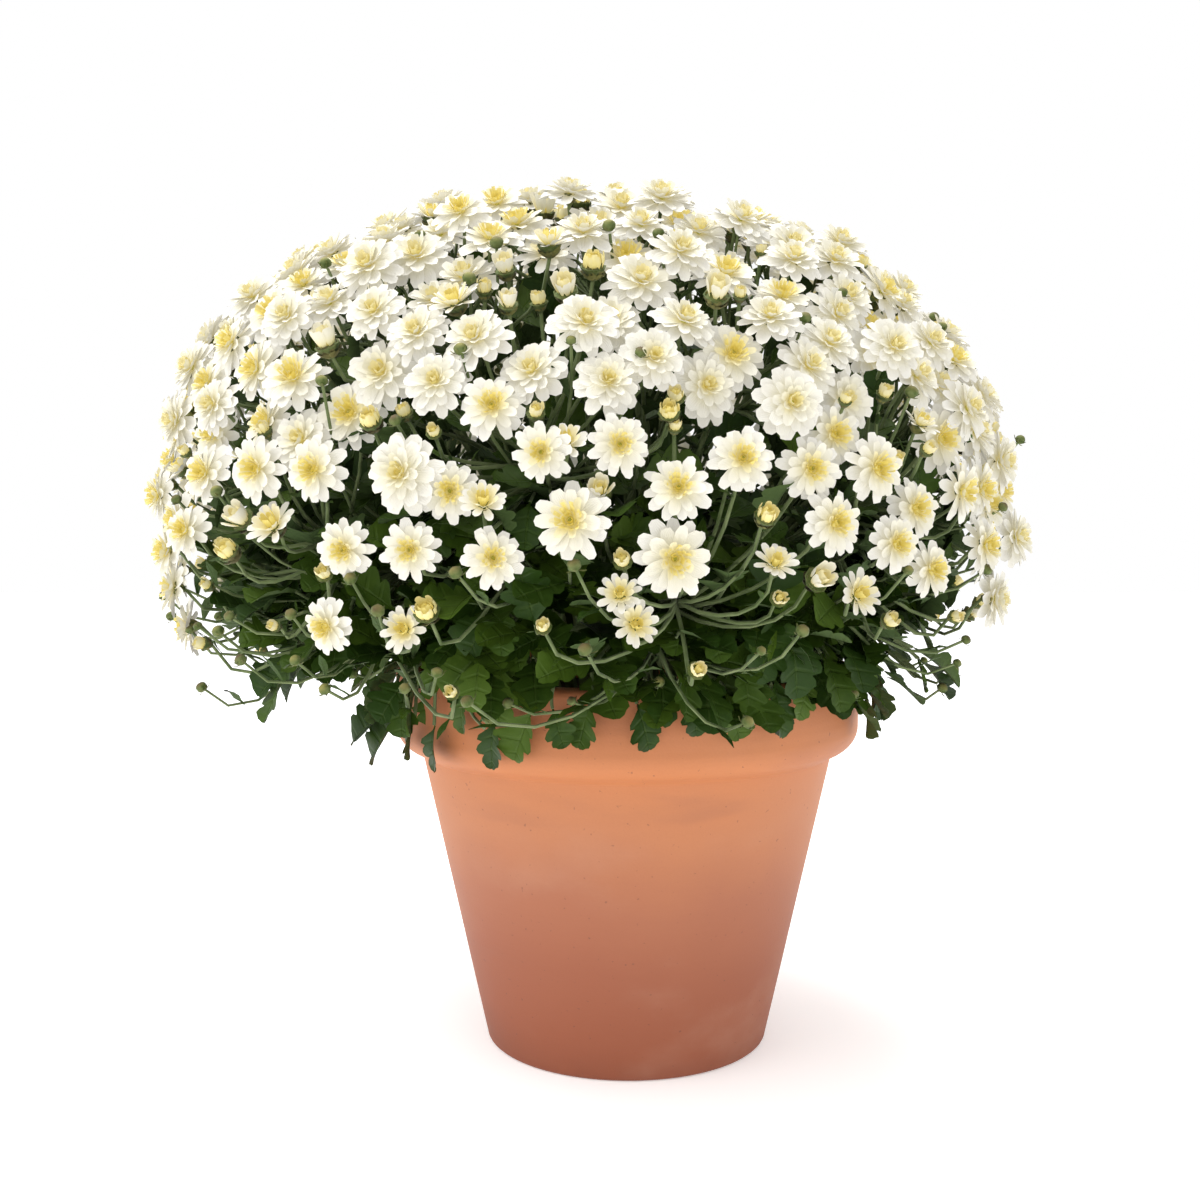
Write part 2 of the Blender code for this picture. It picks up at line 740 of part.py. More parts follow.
def core_bmesh(spray, radius):
    """A rough lump of close foliage that the stem runs through."""
    bm = bmesh.new()
    middle = spray.along(CORE_SHARE)
    along = (spray.along(CORE_SHARE + STEM_STEP) - spray.along(CORE_SHARE - STEM_STEP)).normalized()
    place = stem_frame(middle, along) @ Matrix.Diagonal((1, 1, CORE_STRETCH, 1))
    bmesh.ops.create_uvsphere(bm, u_segments=4, v_segments=3, radius=radius, matrix=place)
    bmesh.ops.triangulate(bm, faces=bm.faces)
    return bm


def grow_cores(sprays, taken):
    """Gives each stem the largest core that clears its neighbours."""
    for spray in sprays:
        for radius in CORE_RADII:
            bm = core_bmesh(spray, radius)
            if not taken.crosses(bm, spray.leafy):
                taken.add(bm, spray.leafy)
                spray.green.append(bm)
                break
            bm.free()


def leaf_frame(base, ahead, face):
    """A place at base whose +X looks ahead and whose +Z is as near to face as that leaves it."""
    side = face.cross(ahead).normalized()
    turn = Matrix((ahead, side, ahead.cross(side))).transposed()
    return Matrix.Translation(base) @ turn.to_4x4()


def outwards(azimuth, dip=0.0):
    """The direction at this azimuth, so many radians below level."""
    level = math.cos(dip)
    return Vector((level * math.cos(azimuth), level * math.sin(azimuth), -math.sin(dip)))


def round_pot(azimuth, height, reach):
    """The point at this azimuth in degrees, height and distance from the pot's axis."""
    return outwards(math.radians(azimuth)) * reach + Vector((0, 0, height))


def skirt_wishes(rng):
    """Where the leaves round the rim would best be: the base, the tip and the way they face."""
    wishes = []
    for azimuth, height, reach, tip_azimuth, tip_height, tip_reach in RIM_LEAVES:
        tip = round_pot(tip_azimuth, tip_height, tip_reach)
        face = outwards(math.radians(azimuth)) + Vector((0, 0, 1))
        wishes.append((round_pot(azimuth, height, reach), tip, face))
    for i in range(SKIRT_LEAVES):
        azimuth = i * GOLDEN_ANGLE
        share = (i * SKIRT_STEP % SKIRT_LEAVES) / SKIRT_LEAVES
        base = outwards(azimuth) * (SKIRT_REACH[0] + (SKIRT_REACH[1] - SKIRT_REACH[0]) * share)
        base += Vector((DOME_CENTRE.x * share, 0, rng.uniform(*SKIRT_HEIGHT)))
        turn = azimuth + rng.uniform(-LEAF_TURN, LEAF_TURN)
        tip = base + outwards(turn, math.radians(rng.uniform(*SKIRT_DIP))) * rng.uniform(*LEAF_LENGTH)
        wishes.append((base, tip, outwards(azimuth) + Vector((0, 0, 1)) + any_way(rng, LEAF_TURN)))
    return wishes


def over_rim(base):
    """Where the petiole of a leaf that hangs at base bends over the rim, if it needs to."""
    if base.z > RIM_TOP + ELBOW_RISE:
        return []
    return [outwards(math.atan2(base.y, base.x)) * ELBOW_REACH + Vector((0, 0, RIM_TOP + ELBOW_RISE))]


def grow_skirt(sprays, wishes, taken, rng):
    """The skirt of leaves that spreads over the pot's rim."""
    low_sprays = [spray for spray in sprays if spray.axis.z < LOW_SPRAY]
    for base, tip, face in wishes:
        out = base.xy.normalized()
        spray = max(low_sprays, key=lambda s: s.axis.xy.normalized().dot(out))

        def propose(ease):
            spot = base + any_way(rng, SKIRT_NUDGE * ease)
            ahead = ((tip - base).normalized() + any_way(rng, LEAF_TURN * ease)).normalized()
            place = leaf_frame(spot, ahead, face + any_way(rng, LEAF_TURN * ease))
            root = spray.side_root(rng.uniform(*SKIRT_ROOTS), spot)
            return leaf, place, (tip - base).length, over_rim(spot) + [root], LEAF_BACK

        settle(spray.green, taken, spray.leafy, propose)


def grow_inner_leaves(sprays, taken, rng):
    """A few upright leaves along the inner stems."""
    for spray in sprays[:INNER_LEAVES]:

        def propose(_):
            azimuth = rng.uniform(0, math.tau)
            share = rng.uniform(*INNER_ROOTS)
            ahead = (outwards(azimuth) + Vector((0, 0, INNER_LIFT))).normalized()
            base = spray.along(share) + ahead * INNER_PETIOLE
            place = leaf_frame(base, ahead, Vector((0, 0, 1)))
            length = rng.uniform(*LEAF_LENGTH)
            return leaf, place, length, [spray.side_root(share, base)], LEAF_BACK

        settle(spray.green, taken, spray.leafy, propose)


def bud_sites(rng):
    """Points for the green buds: strays, then the belt, then gaps on the dome."""
    sites = [on_dome(azimuth, height, reach) for azimuth, height, reach in STRAY_BUDS]
    spots = spiral(BUD_SPOTS, BUDS_LOWEST, lambda height: 1.0)
    rng.shuffle(spots)
    sites += [p for p in spots if p.z < BELT_BUDS_BELOW][:BELT_BUDS]
    sites += [p for p in spots if p.z > BELT_BUDS_BELOW][:DOME_BUDS]
    return sites


def grow_buds(sprays, sites, taken, rng):
    for site in sites:
        spray = nearest_spray(sprays, DOME_CENTRE + site)

        def propose(ease):
            point = DOME_CENTRE + site + any_way(rng, BUD_NUDGE * ease)
            root = spray.side_root(rng.uniform(*BUD_ROOTS), point)
            facing = ((point - root).normalized() + Vector((0, 0, BUD_LIFT))).normalized()
            place = frame_towards(point, facing, rng.uniform(0, math.tau))
            return round_bud, place, BUD_RADIUS, [root], HEAD_BACK

        settle(spray.green, taken, spray.leafy, propose)


def make_soil(sprays, finish):
    """The packed soil, a little domed, with one plain hole for each stem."""
    edge = RIM_INNER_RADIUS - GAP
    neck = NECK_RADIUS - WALL - GAP
    profile = [(0, FLOOR + GAP), (wall_radius(FLOOR) - WALL - GAP, FLOOR + GAP), (neck, NECK_HEIGHT)]
    profile += [(edge, NECK_HEIGHT + RIM_RADIUS - NECK_RADIUS), (edge, SOIL_TOP), (0, SOIL_TOP)]
    soil = new_object("soil", spin_profile(profile, POT_SIDES), finish)
    cutters = bpy.data.collections.new("stem_holes")
    bpy.context.scene.collection.children.link(cutters)
    for i, spray in enumerate(sprays):
        bm = bmesh.new()
        bmesh.ops.create_cone(
            bm,
            cap_ends=True,
            segments=STEM_SIDES,
            radius1=STEM_RADII[0] + 2 * GAP,
            radius2=STEM_RADII[0] + 2 * GAP,
            depth=2 * HOLE_DEPTH,
            matrix=Matrix.Translation(spray.foot + Vector((0, 0, HOLE_DEPTH - GAP))),
        )
        cutter = new_object(f"stem_hole_{i}", bm, finish)
        bpy.context.scene.collection.objects.unlink(cutter)
        cutters.objects.link(cutter)
        cutter.hide_render = True
        cutter.display_type = "WIRE"
    cut = soil.modifiers.new("stem_holes", "BOOLEAN")
    cut.operation = "DIFFERENCE"
    cut.operand_type = "COLLECTION"
    cut.collection = cutters
    return soil


def main():
    for old in list(bpy.data.objects):
        bpy.data.objects.remove(old)
    terracotta = material("terracotta", (0.56, 0.24, 0.11), 0.85)
    earth = material("potting_soil", (0.035, 0.022, 0.014), 0.95)
    green = material("leaf_green", (0.035, 0.085, 0.015), 0.6)
    white = material("petal_white", (0.86, 0.84, 0.74), 0.6)

    pot = make_pot(terracotta)
    tips = spiral(SPRAY_COUNT, SPRAYS_LOWEST, lambda height: 1.0)
    sprays = [Spray(number, tip) for number, tip in enumerate(tips, start=1)]
    make_soil(sprays, earth)

    taken = Clearances()
    pot_shape = bmesh.new()
    pot_shape.from_object(pot, bpy.context.evaluated_depsgraph_get())
    taken.add(pot_shape, "pot")
    pot_shape.free()
    for spray in sprays:
        spray.stem = stem_bmesh(spray)
        spray.stalk = hub_bmesh(spray)
        taken.add(spray.stem, spray.leafy)
        taken.add(spray.stalk, spray.flowers)

    heads = grow_heads(random.Random(SEED))
    rng = random.Random(SEED + 3)
    grow_flowers(sprays, heads, taken, rng)
    grow_cores(sprays, taken)
    grow_skirt(sprays, skirt_wishes(random.Random(SEED + 1)), taken, rng)
    grow_inner_leaves(sprays, taken, rng)
    grow_buds(sprays, bud_sites(random.Random(SEED + 2)), taken, rng)
    print(f"{sum(len(s.white) for s in sprays)} of {len(heads)} blooms and cups")
    print(f"{sum(len(s.green) for s in sprays)} cores, leaves and buds")
    for spray in sprays:
        fuse(new_object(spray.leafy, spray.stem, green), spray.green, green)
        fuse(new_object(spray.flowers, spray.stalk, white), spray.white, white)


main()
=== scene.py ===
# White pot chrysanthemum in its terracotta pot: the finished look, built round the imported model.
# Lengths are metres and +Z is up. The pot stands on z = 0 and the viewer is towards -Y.
import math
import random

import bmesh
import bpy
from mathutils import Matrix, Vector, noise


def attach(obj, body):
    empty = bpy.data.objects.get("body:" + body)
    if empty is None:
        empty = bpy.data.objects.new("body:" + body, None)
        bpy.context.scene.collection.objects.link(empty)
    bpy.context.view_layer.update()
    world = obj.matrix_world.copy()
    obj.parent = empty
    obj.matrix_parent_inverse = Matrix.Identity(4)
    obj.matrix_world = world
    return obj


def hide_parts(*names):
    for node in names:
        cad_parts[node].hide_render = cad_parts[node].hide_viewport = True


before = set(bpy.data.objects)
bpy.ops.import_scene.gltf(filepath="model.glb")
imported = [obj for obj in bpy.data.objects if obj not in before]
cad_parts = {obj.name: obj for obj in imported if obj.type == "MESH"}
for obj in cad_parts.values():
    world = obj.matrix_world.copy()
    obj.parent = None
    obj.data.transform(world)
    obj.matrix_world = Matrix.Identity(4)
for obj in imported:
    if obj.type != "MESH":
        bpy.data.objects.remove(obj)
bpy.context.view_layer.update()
up = Vector((0, 0, 1))
goldenAngle = math.pi * (3 - math.sqrt(5))
tiny = 1e-6  # lengths under this count as none
crispEdge = math.radians(60)  # edges of blades and stalks that turn by more than this look sharp

viewer = {
    "place": (-0.0148, -0.787, 0.289),
    "tilt": math.radians(86.59),
    "lens": 42.63,
    "sensor": 36.0,
}


def setUpCamera():
    lens = bpy.data.cameras.new("viewer")
    lens.lens = viewer["lens"]
    lens.sensor_width = viewer["sensor"]
    camera = bpy.data.objects.new("viewer", lens)
    camera.location = viewer["place"]
    camera.rotation_euler = (viewer["tilt"], 0, 0)
    bpy.context.scene.collection.objects.link(camera)
    bpy.context.scene.camera = camera
    print("camera: set up at the photograph's viewing angle")


setUpCamera()

studio = {
    "skyColour": (1.0, 1.0, 1.0, 1),
    "skyStrength": 1.0,
    "floorSide": 9.0,
    "floorColour": (0.95, 0.95, 0.95, 1),
    "floorGlow": 0.28,
    "lamps": (  # place, width, watts
        ((-1.1, -0.7, 1.8), 1.5, 25),
        ((-0.1, 0.3, 2.2), 1.6, 42),
    ),
    "aim": (0, 0, 0.24),
}


def linkNew(name, data):
    made = bpy.data.objects.new(name, data)
    bpy.context.scene.collection.objects.link(made)
    return made


def setUpStudio():
    sky = bpy.data.worlds.new("softRoom")
    sky.use_nodes = True
    sky.node_tree.nodes["Background"].inputs["Color"].default_value = studio["skyColour"]
    sky.node_tree.nodes["Background"].inputs["Strength"].default_value = studio["skyStrength"]
    bpy.context.scene.world = sky
    bpy.context.scene.view_settings.view_transform = "Standard"
    for place, width, watts in studio["lamps"]:
        lamp = bpy.data.lights.new("softBox", "AREA")
        lamp.shape = "DISK"
        lamp.size = width
        lamp.energy = watts
        box = linkNew("softBox", lamp)
        box.location = place
        box.rotation_euler = (Vector(studio["aim"]) - box.location).to_track_quat("-Z", "Y").to_euler()
    sheet = bmesh.new()
    bmesh.ops.create_grid(sheet, x_segments=1, y_segments=1, size=studio["floorSide"] / 2)
    floor = meshObject("floor", sheet, [floorFinish()])
    print("studio: floor, sky and soft boxes")


def meshObject(name, bm, finishes):
    mesh = bpy.data.meshes.new(name)
    bm.to_mesh(mesh)
    bm.free()
    for finish in finishes:
        mesh.materials.append(finish)
    return linkNew(name, mesh)


def handOver(piece, slot, *nodes):
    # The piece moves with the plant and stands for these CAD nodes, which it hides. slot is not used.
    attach(piece, "root")
    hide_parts(*nodes)


class Field:
    # A socket whose value varies over a surface. Python's operators on it add Math nodes.
    def __init__(self, finish, socket):
        self.finish = finish
        self.socket = socket

    def math(self, operation, first, second=0.0):
        return self.finish.node("ShaderNodeMath", {"operation": operation}, {0: first, 1: second})

    def __add__(self, other):
        return self.math("ADD", self, other)

    def __sub__(self, other):
        return self.math("SUBTRACT", self, other)

    def __rsub__(self, other):
        return self.math("SUBTRACT", other, self)

    def __mul__(self, other):
        return self.math("MULTIPLY", self, other)

    def __gt__(self, other):
        return self.math("GREATER_THAN", self, other)

    __radd__ = __add__
    __rmul__ = __mul__

    def absolute(self):
        return self.math("ABSOLUTE", self)

    def fraction(self):
        return self.math("FRACT", self)

    def between(self, low, high):
        # 0 below low, 1 above high, and smooth from one to the other.
        sockets = {"Value": self, "From Min": low, "From Max": high}
        return self.finish.node("ShaderNodeMapRange", {"interpolation_type": "SMOOTHSTEP"}, sockets)


class Finish:
    # A procedural material. node() adds any node, and most of the rest are short ways to call it.
    def __init__(self, name, **fixed):
        self.material = bpy.data.materials.new(name)
        self.material.use_nodes = True
        self.tree = self.material.node_tree
        self.shader = self.tree.nodes["Principled BSDF"]
        for socket, value in fixed.items():
            self.shader.inputs[socket.replace("_", " ")].default_value = value

    def feed(self, socket, value):
        if isinstance(value, Field):
            self.tree.links.new(value.socket, socket)
        else:
            socket.default_value = value

    def node(self, kind, settings, sockets, out=0):
        made = self.tree.nodes.new(kind)
        for name, value in settings.items():
            if name == "stops":
                self.setStops(made.color_ramp.elements, value)
            else:
                setattr(made, name, value)
        for key, value in sockets.items():
            self.feed(made.inputs[key], value)
        return Field(self, made.outputs[out])

    def setStops(self, elements, stops):
        while len(elements) < len(stops):
            elements.new(1)
        for element, (place, colour) in zip(elements, stops):
            element.position = place
            element.color = (*colour, 1)

    def place(self):
        return self.node("ShaderNodeTexCoord", {}, {}, "Object")

    def stretched(self, where, scale):
        return self.node("ShaderNodeMapping", {}, {"Vector": where, "Scale": scale})

    def split(self, vector, axis):
        return self.node("ShaderNodeSeparateXYZ", {}, {0: vector}, axis)

    def cloud(self, where, scale, detail=3.0):
        return self.node("ShaderNodeTexNoise", {}, {"Vector": where, "Scale": scale, "Detail": detail})

    def attribute(self, name):
        return self.node("ShaderNodeAttribute", {"attribute_name": name}, {}, "Fac")

    def ramp(self, field, stops):
        return self.node("ShaderNodeValToRGB", {"stops": stops}, {0: field})

    def blend(self, share, first, second):
        # A Mix node's sockets 6 and 7 and its output 2 are the ones for colours.
        return self.node("ShaderNodeMix", {"data_type": "RGBA"}, {0: share, 6: first, 7: second}, 2)

    def bump(self, height, depth, strength=1.0):
        sockets = {"Height": height, "Distance": depth, "Strength": strength}
        self.show("Normal", self.node("ShaderNodeBump", {}, sockets))

    def show(self, socket, field):
        self.feed(self.shader.inputs[socket], field)


def floorFinish():
    finish = Finish("paleFloor", Roughness=0.9, Specular_IOR_Level=0.1)
    finish.shader.inputs["Base Color"].default_value = studio["floorColour"]
    finish.shader.inputs["Emission Color"].default_value = studio["skyColour"]
    finish.shader.inputs["Emission Strength"].default_value = studio["floorGlow"]
    return finish.material


setUpStudio()

pot = {
    "rimRadius": 0.127,
    "rimTop": 0.207,
    "rimInner": 0.1145,
    "neckRadius": 0.1132,
    "neckHeight": 0.1618,
    "baseRadius": 0.0772,
    "baseRound": 0.003,
    "wall": 0.009,
    "floor": 0.010,
    "lip": 0.0045,
    "crease": 0.0022,
    "sides": 160,
    "drainRadius": 0.006,
    "drainRing": 0.045,
    "drains": 3,
    "drainSides": 28,
    "wallSteps": 8,
    # Each rounded corner of the outline: where it starts and ends, in degrees, and its steps.
    "footArc": (-80, 0, 4),
    "rollArc": (-78, 0, 12),
    "lipArc": (0, 90, 6),
    "innerArc": (90, 180, 4),
    "crispEdge": math.radians(38),
    # The clay's colour from the base, 0, to the rim, 1: darker towards the base, partly the clay's own
    # colour and partly painted shade.
    "colours": (
        (0.00, (0.245, 0.066, 0.028)),
        (0.10, (0.285, 0.080, 0.035)),
        (0.28, (0.310, 0.096, 0.046)),
        (0.45, (0.362, 0.126, 0.062)),
        (0.62, (0.458, 0.172, 0.074)),
        (0.80, (0.505, 0.184, 0.068)),
        (1.00, (0.480, 0.166, 0.064)),
    ),
    "dust": (0.52, 0.30, 0.21, 1),
    "stain": (0.26, 0.095, 0.058, 1),
    "speck": (0.12, 0.050, 0.035, 1),
    # Scales of the noise, where each mask starts and is full, and how much of it shows.
    "cloudScale": 9.0,
    "cloudShare": 0.30,
    "dustScale": (11, 11, 17),
    "dustMask": (0.52, 0.78),
    "dustShare": 0.34,
    "dustFade": 0.6,
    "smearScale": (7, 7, 34),
    "smearMask": (0.56, 0.74),
    "smearShare": 0.30,
    "speckScale": 420.0,
    "speckMask": (0.72, 0.80),
    "speckShare": 0.5,
    "grainScale": 900.0,
    "grainFrom": 0.35,
    "grainShare": 0.16,
    "ringScale": (0.6, 0.6, 190),
    "roughness": (0.56, 0.16, 0.10),  # of bare clay, and what the clouds and the dust add
    "bumps": (0.6, 0.25, 0.5),  # how much the wheel's rings, the grain and the clouds stand out
    "bumpDepth": 0.0005,
}


def terracottaFinish():
    clay = Finish("terracotta", Specular_IOR_Level=0.42)
    where = clay.place()
    height = clay.split(where, "Z") * (1 / pot["rimTop"])
    clouds = clay.cloud(where, pot["cloudScale"], detail=4.0)
    # The height ramp darkens the clay towards the base: partly its own colour, partly painted shade.
    colour = clay.ramp(height + (clouds - 0.5) * pot["cloudShare"], pot["colours"])
    # Pale dust, more of it low on the pot, and darker wiped smears that lean round it.
    dust = clay.cloud(clay.stretched(where, pot["dustScale"]), 1.0, detail=5.0)
    dust = dust.between(*pot["dustMask"])
    colour = clay.blend(dust * (1 - height * pot["dustFade"]) * pot["dustShare"], colour, pot["dust"])
    smear = clay.cloud(clay.stretched(where, pot["smearScale"]), 1.0).between(*pot["smearMask"])
    colour = clay.blend(smear * pot["smearShare"], colour, pot["stain"])
    specks = clay.cloud(where, pot["speckScale"], detail=1.0).between(*pot["speckMask"])
    colour = clay.blend(specks * pot["speckShare"], colour, pot["speck"])
    grain = clay.cloud(where, pot["grainScale"], detail=2.0)
    colour = clay.blend((grain - pot["grainFrom"]) * pot["grainShare"], colour, pot["stain"])
    clay.show("Base Color", colour)
    bare, cloudy, dusty = pot["roughness"]
    clay.show("Roughness", bare + clouds * cloudy + dust * dusty)
    # Faint rings from the wheel under the grain.
    rings = clay.cloud(clay.stretched(where, pot["ringScale"]), 1.0, detail=2.0)
    ringed, grained, uneven = pot["bumps"]
    clay.bump(rings * ringed + grain * grained + clouds * uneven, pot["bumpDepth"], strength=0.5)
    return clay.material


def arcPoints(middle, radius, start, end, steps):
    turns = [math.radians(start + (end - start) * i / steps) for i in range(steps + 1)]
    return [(middle[0] + radius * math.cos(t), middle[1] + radius * math.sin(t)) for t in turns]


def wallAt(height):
    return pot["baseRadius"] + (pot["neckRadius"] - pot["baseRadius"]) * height / pot["neckHeight"]


def turnOnWheel(profile, sides):
    # A round solid from its outline, in (radius, height) pairs.
    bm = bmesh.new()
    verts = [bm.verts.new((radius, 0, height)) for radius, height in profile]
    edges = [bm.edges.new(pair) for pair in zip(verts, verts[1:])]
    around = {"axis": up, "cent": (0, 0, 0), "angle": math.tau, "steps": sides, "use_merge": True}
    bmesh.ops.spin(bm, geom=verts + edges, **around)
    bmesh.ops.remove_doubles(bm, verts=bm.verts, dist=tiny)
    bmesh.ops.recalc_face_normals(bm, faces=bm.faces)
    return bm


def makePot():
    roll = pot["rimRadius"] - pot["neckRadius"]
    lip, crease, base = pot["lip"], pot["crease"], pot["baseRound"]
    outside = [(0, 0), (pot["baseRadius"] - base, 0)]
    outside += arcPoints((wallAt(base) - base, base), base, *pot["footArc"])
    top, steps = pot["neckHeight"] - crease, pot["wallSteps"]
    outside += [(wallAt(top * i / steps), top * i / steps) for i in range(1, steps + 1)]
    outside += arcPoints((pot["neckRadius"], pot["neckHeight"] + roll), roll, *pot["rollArc"])
    outside += arcPoints((pot["rimRadius"] - lip, pot["rimTop"] - lip), lip, *pot["lipArc"])
    inner = (pot["rimInner"] + lip / 2, pot["rimTop"] - lip / 2)
    inside = arcPoints(inner, lip / 2, *pot["innerArc"])
    inside += [(pot["rimInner"], pot["neckHeight"] + roll)]
    inside += [(pot["neckRadius"] - pot["wall"], pot["neckHeight"])]
    inside += [(wallAt(pot["floor"]) - pot["wall"], pot["floor"]), (0, pot["floor"])]
    turned = turnOnWheel(outside + inside, pot["sides"])
    shell = meshObject("terracotta_pot", turned, [terracottaFinish()])
    for i in range(pot["drains"]):
        drillDrain(shell, math.tau * (i + 0.5) / pot["drains"])
    shell.data.shade_smooth()
    shell.data.set_sharp_from_angle(angle=pot["crispEdge"])
    handOver(shell, "terracotta", "pot")
    print("pot: turned, drilled and finished")


def drillDrain(shell, turn):
    bm = bmesh.new()
    place = Matrix.Translation((pot["drainRing"] * math.cos(turn), pot["drainRing"] * math.sin(turn), 0))
    size = {"radius1": pot["drainRadius"], "radius2": pot["drainRadius"], "depth": 3 * pot["floor"]}
    bmesh.ops.create_cone(bm, cap_ends=True, segments=pot["drainSides"], matrix=place, **size)
    drill = meshObject("drill", bm, [])
    cut = shell.modifiers.new("drain", "BOOLEAN")
    cut.operation = "DIFFERENCE"
    cut.object = drill
    applyModifiers(shell)
    bpy.data.objects.remove(drill)


def applyModifiers(piece):
    graph = bpy.context.evaluated_depsgraph_get()
    done = bpy.data.meshes.new_from_object(piece.evaluated_get(graph))
    piece.modifiers.clear()
    piece.data = done


makePot()

soil = {
    "top": 0.186,
    "gap": 0.0003,
    "rings": 22,
    "sides": 96,
    "lump": 0.0026,
    "lumpScale": 95.0,
    "levelPast": 0.99,  # the share of its width past which its edge stays level
    "crumbScale": 260.0,
    "clodScale": 90.0,
    "crumbDepth": 0.0015,
    "colours": (
        (0.30, (0.010, 0.0065, 0.0042)),
        (0.52, (0.030, 0.019, 0.012)),
        (0.72, (0.075, 0.052, 0.034)),
    ),
}


def soilFinish():
    earth = Finish("pottingSoil", Roughness=0.95, Specular_IOR_Level=0.2)
    where = earth.place()
    crumbs = earth.cloud(where, soil["crumbScale"], detail=5.0)
    earth.show("Base Color", earth.ramp(crumbs, soil["colours"]))
    earth.bump(crumbs + earth.cloud(where, soil["clodScale"]), soil["crumbDepth"])
    return earth.material


def makeSoil():
    edge = pot["rimInner"] - soil["gap"]
    low = pot["floor"] + soil["gap"]
    profile = [(0, low), (wallAt(pot["floor"]) - pot["wall"] - soil["gap"], low)]
    profile += [(pot["neckRadius"] - pot["wall"] - soil["gap"], pot["neckHeight"])]
    profile += [(edge, pot["neckHeight"] + pot["rimRadius"] - pot["neckRadius"])]
    profile += [(edge * (1 - i / soil["rings"]), soil["top"]) for i in range(soil["rings"] + 1)]
    bm = turnOnWheel(profile, soil["sides"])
    for v in bm.verts:
        if v.co.z > soil["top"] - soil["gap"] and v.co.xy.length < edge * soil["levelPast"]:
            v.co.z += soil["lump"] * noise.noise(v.co * soil["lumpScale"])
    earth = meshObject("potting_soil", bm, [soilFinish()])
    earth.data.shade_smooth()
    handOver(earth, "potting_soil", "soil")
    print("soil: filled to just under the rim")


makeSoil()

dome = {
    "centre": Vector((-0.0225, 0.0, 0.291)),
    "radius": 0.224,
    "height": 0.163,
    "power": 2.2,
    "heart": Vector((-0.012, 0.0, 0.215)),  # where all the sprays point from
}

heads = {
    "count": 478,
    "lowest": math.radians(-24),
    "closestAbove": 0.100,
    "topShare": 1.45,
    "denseAbove": 0.012,
    "sparseBelow": -0.055,
    "beltShare": 0.34,
    "jitter": 0.0045,
    "tiers": 4,
    "tierDrop": 0.0055,
    "openRadius": (0.0140, 0.0170),
    "youngRadius": (0.0052, 0.0072),
    "youngShare": 0.12,
    "patchShare": 0.60,
    "lean": 0.28,
    "lift": 0.12,
    "cupLift": 0.8,
    "light": Vector((0, -0.26, 0)),  # how far the heads turn to the light, on the viewer's side
    # Where many cups are still half open: azimuth in degrees, height, reach.
    "youngPatches": (
        (-104, 0.437, 0.030),
        (-97, 0.395, 0.036),
        (-95, 0.334, 0.032),
        (-78, 0.330, 0.030),
        (-134, 0.292, 0.040),
        (-48, 0.300, 0.034),
    ),
    # The belt in front, under the dense blooms: azimuth in degrees, height, diameter.
    "beltFrom": -150,
    "beltTo": -25,
    "beltTop": 0.318,
    "beltBlooms": (
        (-116, 0.275, 0.026),
        (-108, 0.275, 0.026),
        (-99, 0.272, 0.026),
        (-91, 0.287, 0.033),
        (-80, 0.300, 0.028),
        (-80, 0.271, 0.034),
        (-120, 0.242, 0.026),
        (-94, 0.314, 0.025),
        (-86, 0.317, 0.026),
        (-109, 0.306, 0.034),
        (-104, 0.299, 0.026),
        (-62, 0.286, 0.029),
        (-53, 0.277, 0.027),
        (-46, 0.265, 0.027),
        (-32, 0.275, 0.029),
        (-56, 0.309, 0.030),
        (-64, 0.309, 0.028),
        (-73, 0.312, 0.028),
        (-120, 0.308, 0.029),
        (-129, 0.309, 0.030),
        (-140, 0.308, 0.030),
        (-48, 0.292, 0.028),
        (-40, 0.300, 0.030),
        (-30, 0.302, 0.030),
        (-146, 0.282, 0.028),
    ),
    "beltCups": (
        (-107, 0.253, 0.014),
        (-110, 0.243, 0.012),
        (-86, 0.259, 0.011),
        (-84, 0.246, 0.012),
        (-70, 0.292, 0.012),
        (-69, 0.272, 0.011),
        (-63, 0.264, 0.014),
        (-57, 0.257, 0.013),
        (-127, 0.288, 0.014),
        (-133, 0.290, 0.014),
        (-136, 0.276, 0.013),
        (-100, 0.297, 0.012),
        (-88, 0.301, 0.012),
    ),
    # The small shut cups that fill the gaps between them.
    "smallCups": 120,
    "smallCupsLowest": math.radians(-20),
    "smallRadius": (0.0036, 0.0054),
    "smallSink": (-0.002, 0.010),
    "smallSpots": 14,
    "smallShift": 0.022,
}


def shareBetween(value, low, high):
    return min(1.0, max(0.0, (value - low) / (high - low)))


def domeRing(climb):
    across, rise = math.cos(climb), math.sin(climb)
    bend = 2 / dome["power"]
    return dome["radius"] * across**bend, math.copysign(dome["height"] * abs(rise) ** bend, rise)


def domeNormal(point):
    across = point.xy.length
    slopeOut = (across / dome["radius"]) ** (dome["power"] - 1) / dome["radius"]
    slopeUp = (abs(point.z) / dome["height"]) ** (dome["power"] - 1) / dome["height"]
    turn = slopeOut / max(across, tiny)
    return Vector((point.x * turn, point.y * turn, math.copysign(slopeUp, point.z))).normalized()


def domeRadiusAt(height):
    share = min(1.0, abs(height) / dome["height"])
    return dome["radius"] * (1 - share ** dome["power"]) ** (1 / dome["power"])


def onDome(azimuth, height, reach=None):
    # A point from the dome's centre: on its surface, or so far from its axis.
    turn = math.radians(azimuth)
    over = height - dome["centre"].z
    across = domeRadiusAt(over) if reach is None else reach
    return Vector((across * math.cos(turn), across * math.sin(turn), over))


